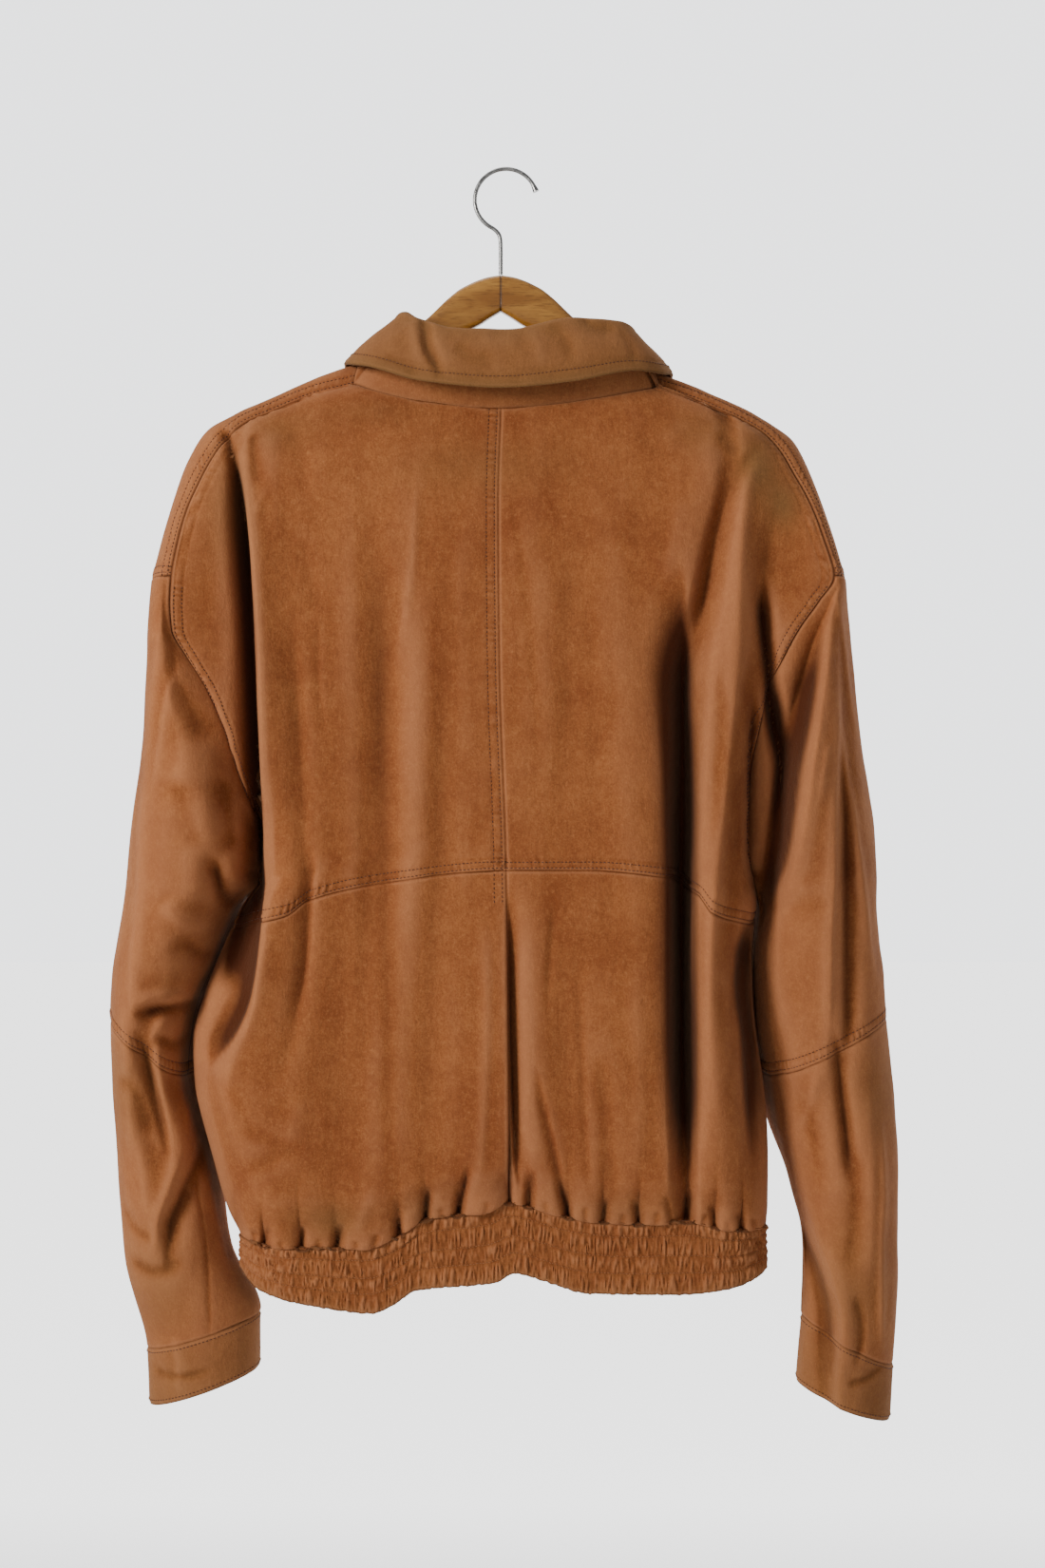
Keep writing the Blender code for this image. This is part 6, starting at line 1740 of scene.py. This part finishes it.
def soil_of_band(grid):
    """A little grime all over and more along the lower edge."""
    low = np.exp(-((from_edges(grid)["bottom"] / BAND_SOIL_REACH) ** 2))
    return np.clip(BAND_SOIL + BAND_EDGE_SOIL * low, 0, 1)


def build_band(name, node_name, front, first_x, last_x, bottom, lift=0.0, step=1.4):
    fine = np.linspace(0, math.pi, 900)
    left, right = SIDE_EDGE["left"]["x"][-1], SIDE_EDGE["right"]["x"][-1]
    hem, face = (HEM_FRONT, 1) if front else (HEM_BACK, -1)
    columns = int(abs(last_x - first_x) * BAND_FULLNESS / step)
    rows, spans = [], []
    for share in BAND_ROWS:
        x = first_x + (last_x - first_x) * (1 - np.cos(fine)) / 2
        drop = BAND_TOP_DROP + BAND_HEIGHT * share
        full = smooth(drop, BODY["drop"], BODY["front" if front else "back"])
        reach = smooth(drop, BODY["drop"], BODY["reach"])
        inward = np.clip(np.minimum(x - left, right - x) / reach, 0, 1)
        y = full * np.sqrt(1 - (1 - inward) ** 2) * face
        run = np.concatenate([[0], np.cumsum(np.hypot(np.diff(x), np.diff(y)))])
        even = np.linspace(0, run[-1], columns)
        x, y = np.interp(even, run, x), np.interp(even, run, y)
        top, low = (smooth(x, line["x"], line["drop"]) for line in (hem, bottom))
        rows.append(np.stack([x, y + lapped(x, lift), -(top + (low - top) * share)], axis=1))
        spans.append(even)
    grid = np.array(rows)
    normal = outward(grid)
    sign = 1 if (normal[:, :, 1].sum() > 0) == front else -1
    normal = normal * sign
    height = np.array([
        ruched(span, share, first_x * 0.37) for span, share in zip(spans, BAND_ROWS)
    ])
    if front:
        height = height * off_button_stand(grid[0][:, 0] - last_x)[None]
    away = from_edges(grid)
    ends = np.minimum(away["start"], away["end"])
    height = height * np.clip(ends / ENDS_LIE_FLAT, 0, 1)
    grid = grid + normal * height[:, :, None]
    wobble = np.array([
        noise.noise((r / 4.2, 3.0, first_x)) + 0.6 * noise.noise((r / 1.7, 8.0, first_x))
        for r in spans[0]
    ])
    fixed = np.clip(BAND_ROWS / 0.12, 0, 1)[:, None] * np.clip(ends[:1] / WOBBLE_ENDS, 0, 1)
    grid[:, :, 2] += WOBBLE * wobble[None] * fixed
    grid = sewn(grid, normal, ("top", "bottom"))
    normal = outward(grid) * sign
    # crisp strengthens the painted highlight on the puckers' ridges and the painted shade between them
    cloth(name, grid, node_name, sign, soil=soil_of_band, crisp=1.7)
    stitched = [int(np.abs(BAND_ROWS - share).argmin()) for share in BAND_STITCH_SHARES]
    stitching(name + "_stitching", [(grid[r], normal[r]) for r in stitched], pitch=2.5,
              length=2.0, thickness=0.75, made_of=PALE_THREAD)


build_band("waistband_back", "waistband_back", False, -203, 200, BAND_BOTTOM_BACK, step=0.8)
build_band("waistband_left", "waistband_front_left", True, -203, FRONT_EDGE, BAND_BOTTOM_FRONT,
           lift=LAP_LIFT)
build_band("waistband_right", "waistband_front_right", True, 200, -FRONT_EDGE, BAND_BOTTOM_FRONT)

# ---- Buttons: dark horn-like buttons with a raised rim and a hollow face, each sewn on with a
# cross of thread; six down the front and one on each cuff.
BUTTON_THICKNESS, BUTTON_EASE = 2.5, 0.98
BUTTON_PROFILE = (  # share of the radius, share of the thickness, from the middle of the face
    (0.0, 0.62), (0.30, 0.62), (0.55, 0.64), (0.70, 0.74), (0.80, 0.94), (0.88, 1.0),
    (0.95, 0.95), (1.0, 0.78), (1.0, 0.35), (0.93, 0.06), (0.80, 0.0),
)
BUTTON_POINTS = 40
MOST_TILT, FLAT_BUTTON_DEPTH = 0.35, 2.6
CROSS_REACH, CROSS_POINTS, STRAND_RADIUS, STRAND_POINTS = 0.22, 7, 0.45, 5
STRAND_LOW, STRAND_ARCH, UPPER_STRAND = 0.16, 0.20, 0.1


def tilted(points, tilt):
    """Turns points about the button's level middle line."""
    x, y, z = np.asarray(points, float).T
    c, s = math.cos(tilt), math.sin(tilt)
    return np.stack([x, y * c + z * s, z * c - y * s], axis=1)


def horn():
    made, tree, shader = painted("dark_horn", (0.075, 0.034, 0.016), 0.32)
    place = node(tree, "ShaderNodeTexCoord").outputs["Object"]
    streak = node(tree, "ShaderNodeMapping", i3=(90, 260, 60), i0=place).outputs[0]
    grain = node(tree, "ShaderNodeTexNoise", Vector=streak, Scale=1.0, Detail=4.0, Distortion=1.2)
    tone = node(tree, "ShaderNodeMix", {"data_type": "RGBA"}, i0=grain.outputs["Fac"],
                i6=(0.035, 0.016, 0.008, 1), i7=(0.16, 0.075, 0.032, 1))
    tree.links.new(tone.outputs[2], shader.inputs["Base Color"])
    shader.inputs["Coat Weight"].default_value = 0.25
    return made


def build_buttons():
    finish = horn()
    for name in [f"front_button_{k}" for k in range(1, 7)] + ["cuff_button_left", "cuff_button_right"]:
        low, high = (np.array(corner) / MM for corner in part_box(name))
        centre = (low + high) / 2
        radius = max(high[0] - low[0], high[2] - low[2]) / 2 * BUTTON_EASE
        slope = (high[1] - low[1] - FLAT_BUTTON_DEPTH) / (2 * radius)
        tilt = math.asin(min(MOST_TILT, max(0.0, slope)))
        if name == "front_button_1":  # up there the front still slopes out on its way down
            tilt = -tilt
        turns = 2 * math.pi * np.arange(BUTTON_POINTS) / BUTTON_POINTS
        points = [(0, (BUTTON_PROFILE[0][1] - 0.5) * BUTTON_THICKNESS, 0)]
        for reach, height in BUTTON_PROFILE[1:]:
            for turn in turns:
                points.append((reach * radius * math.cos(turn), (height - 0.5) * BUTTON_THICKNESS,
                               reach * radius * math.sin(turn)))
        faces = []
        for k in range(BUTTON_POINTS):
            n = (k + 1) % BUTTON_POINTS
            faces.append((0, 1 + k, 1 + n))
            for a in range(1, 1 + (len(BUTTON_PROFILE) - 2) * BUTTON_POINTS, BUTTON_POINTS):
                faces.append((a + k, a + BUTTON_POINTS + k, a + BUTTON_POINTS + n, a + n))
        back = 1 + (len(BUTTON_PROFILE) - 2) * BUTTON_POINTS
        faces.append([back + k for k in range(BUTTON_POINTS)][::-1])
        made = piece("sewn_" + name, tilted(points, tilt) + centre, faces, finish)
        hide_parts(name)
        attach(made, "root")
        sew_on(name, centre, radius, tilt)


def sew_on(name, centre, radius, tilt):
    """Two crossed strands of thread over the middle of the button."""
    points, faces = [], []
    for sign in (1, -1):
        base = len(points)
        for step in np.linspace(-1, 1, CROSS_POINTS):
            x = step * radius * CROSS_REACH
            y = BUTTON_THICKNESS * (STRAND_LOW + STRAND_ARCH * (1 - step * step))
            y += UPPER_STRAND if sign > 0 else 0
            for turn in 2 * math.pi * np.arange(STRAND_POINTS) / STRAND_POINTS:
                aside = STRAND_RADIUS * math.sin(turn) * 0.7
                points.append((x - sign * aside, y + STRAND_RADIUS * math.cos(turn), sign * x + aside))
        for r in range(base, base + (CROSS_POINTS - 1) * STRAND_POINTS, STRAND_POINTS):
            for k in range(STRAND_POINTS):
                n = (k + 1) % STRAND_POINTS
                faces.append((r + k, r + n, r + STRAND_POINTS + n, r + STRAND_POINTS + k))
    made = piece("thread_" + name, tilted(points, tilt) + centre, faces, WAXED_THREAD)
    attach(made, "root")


build_buttons()
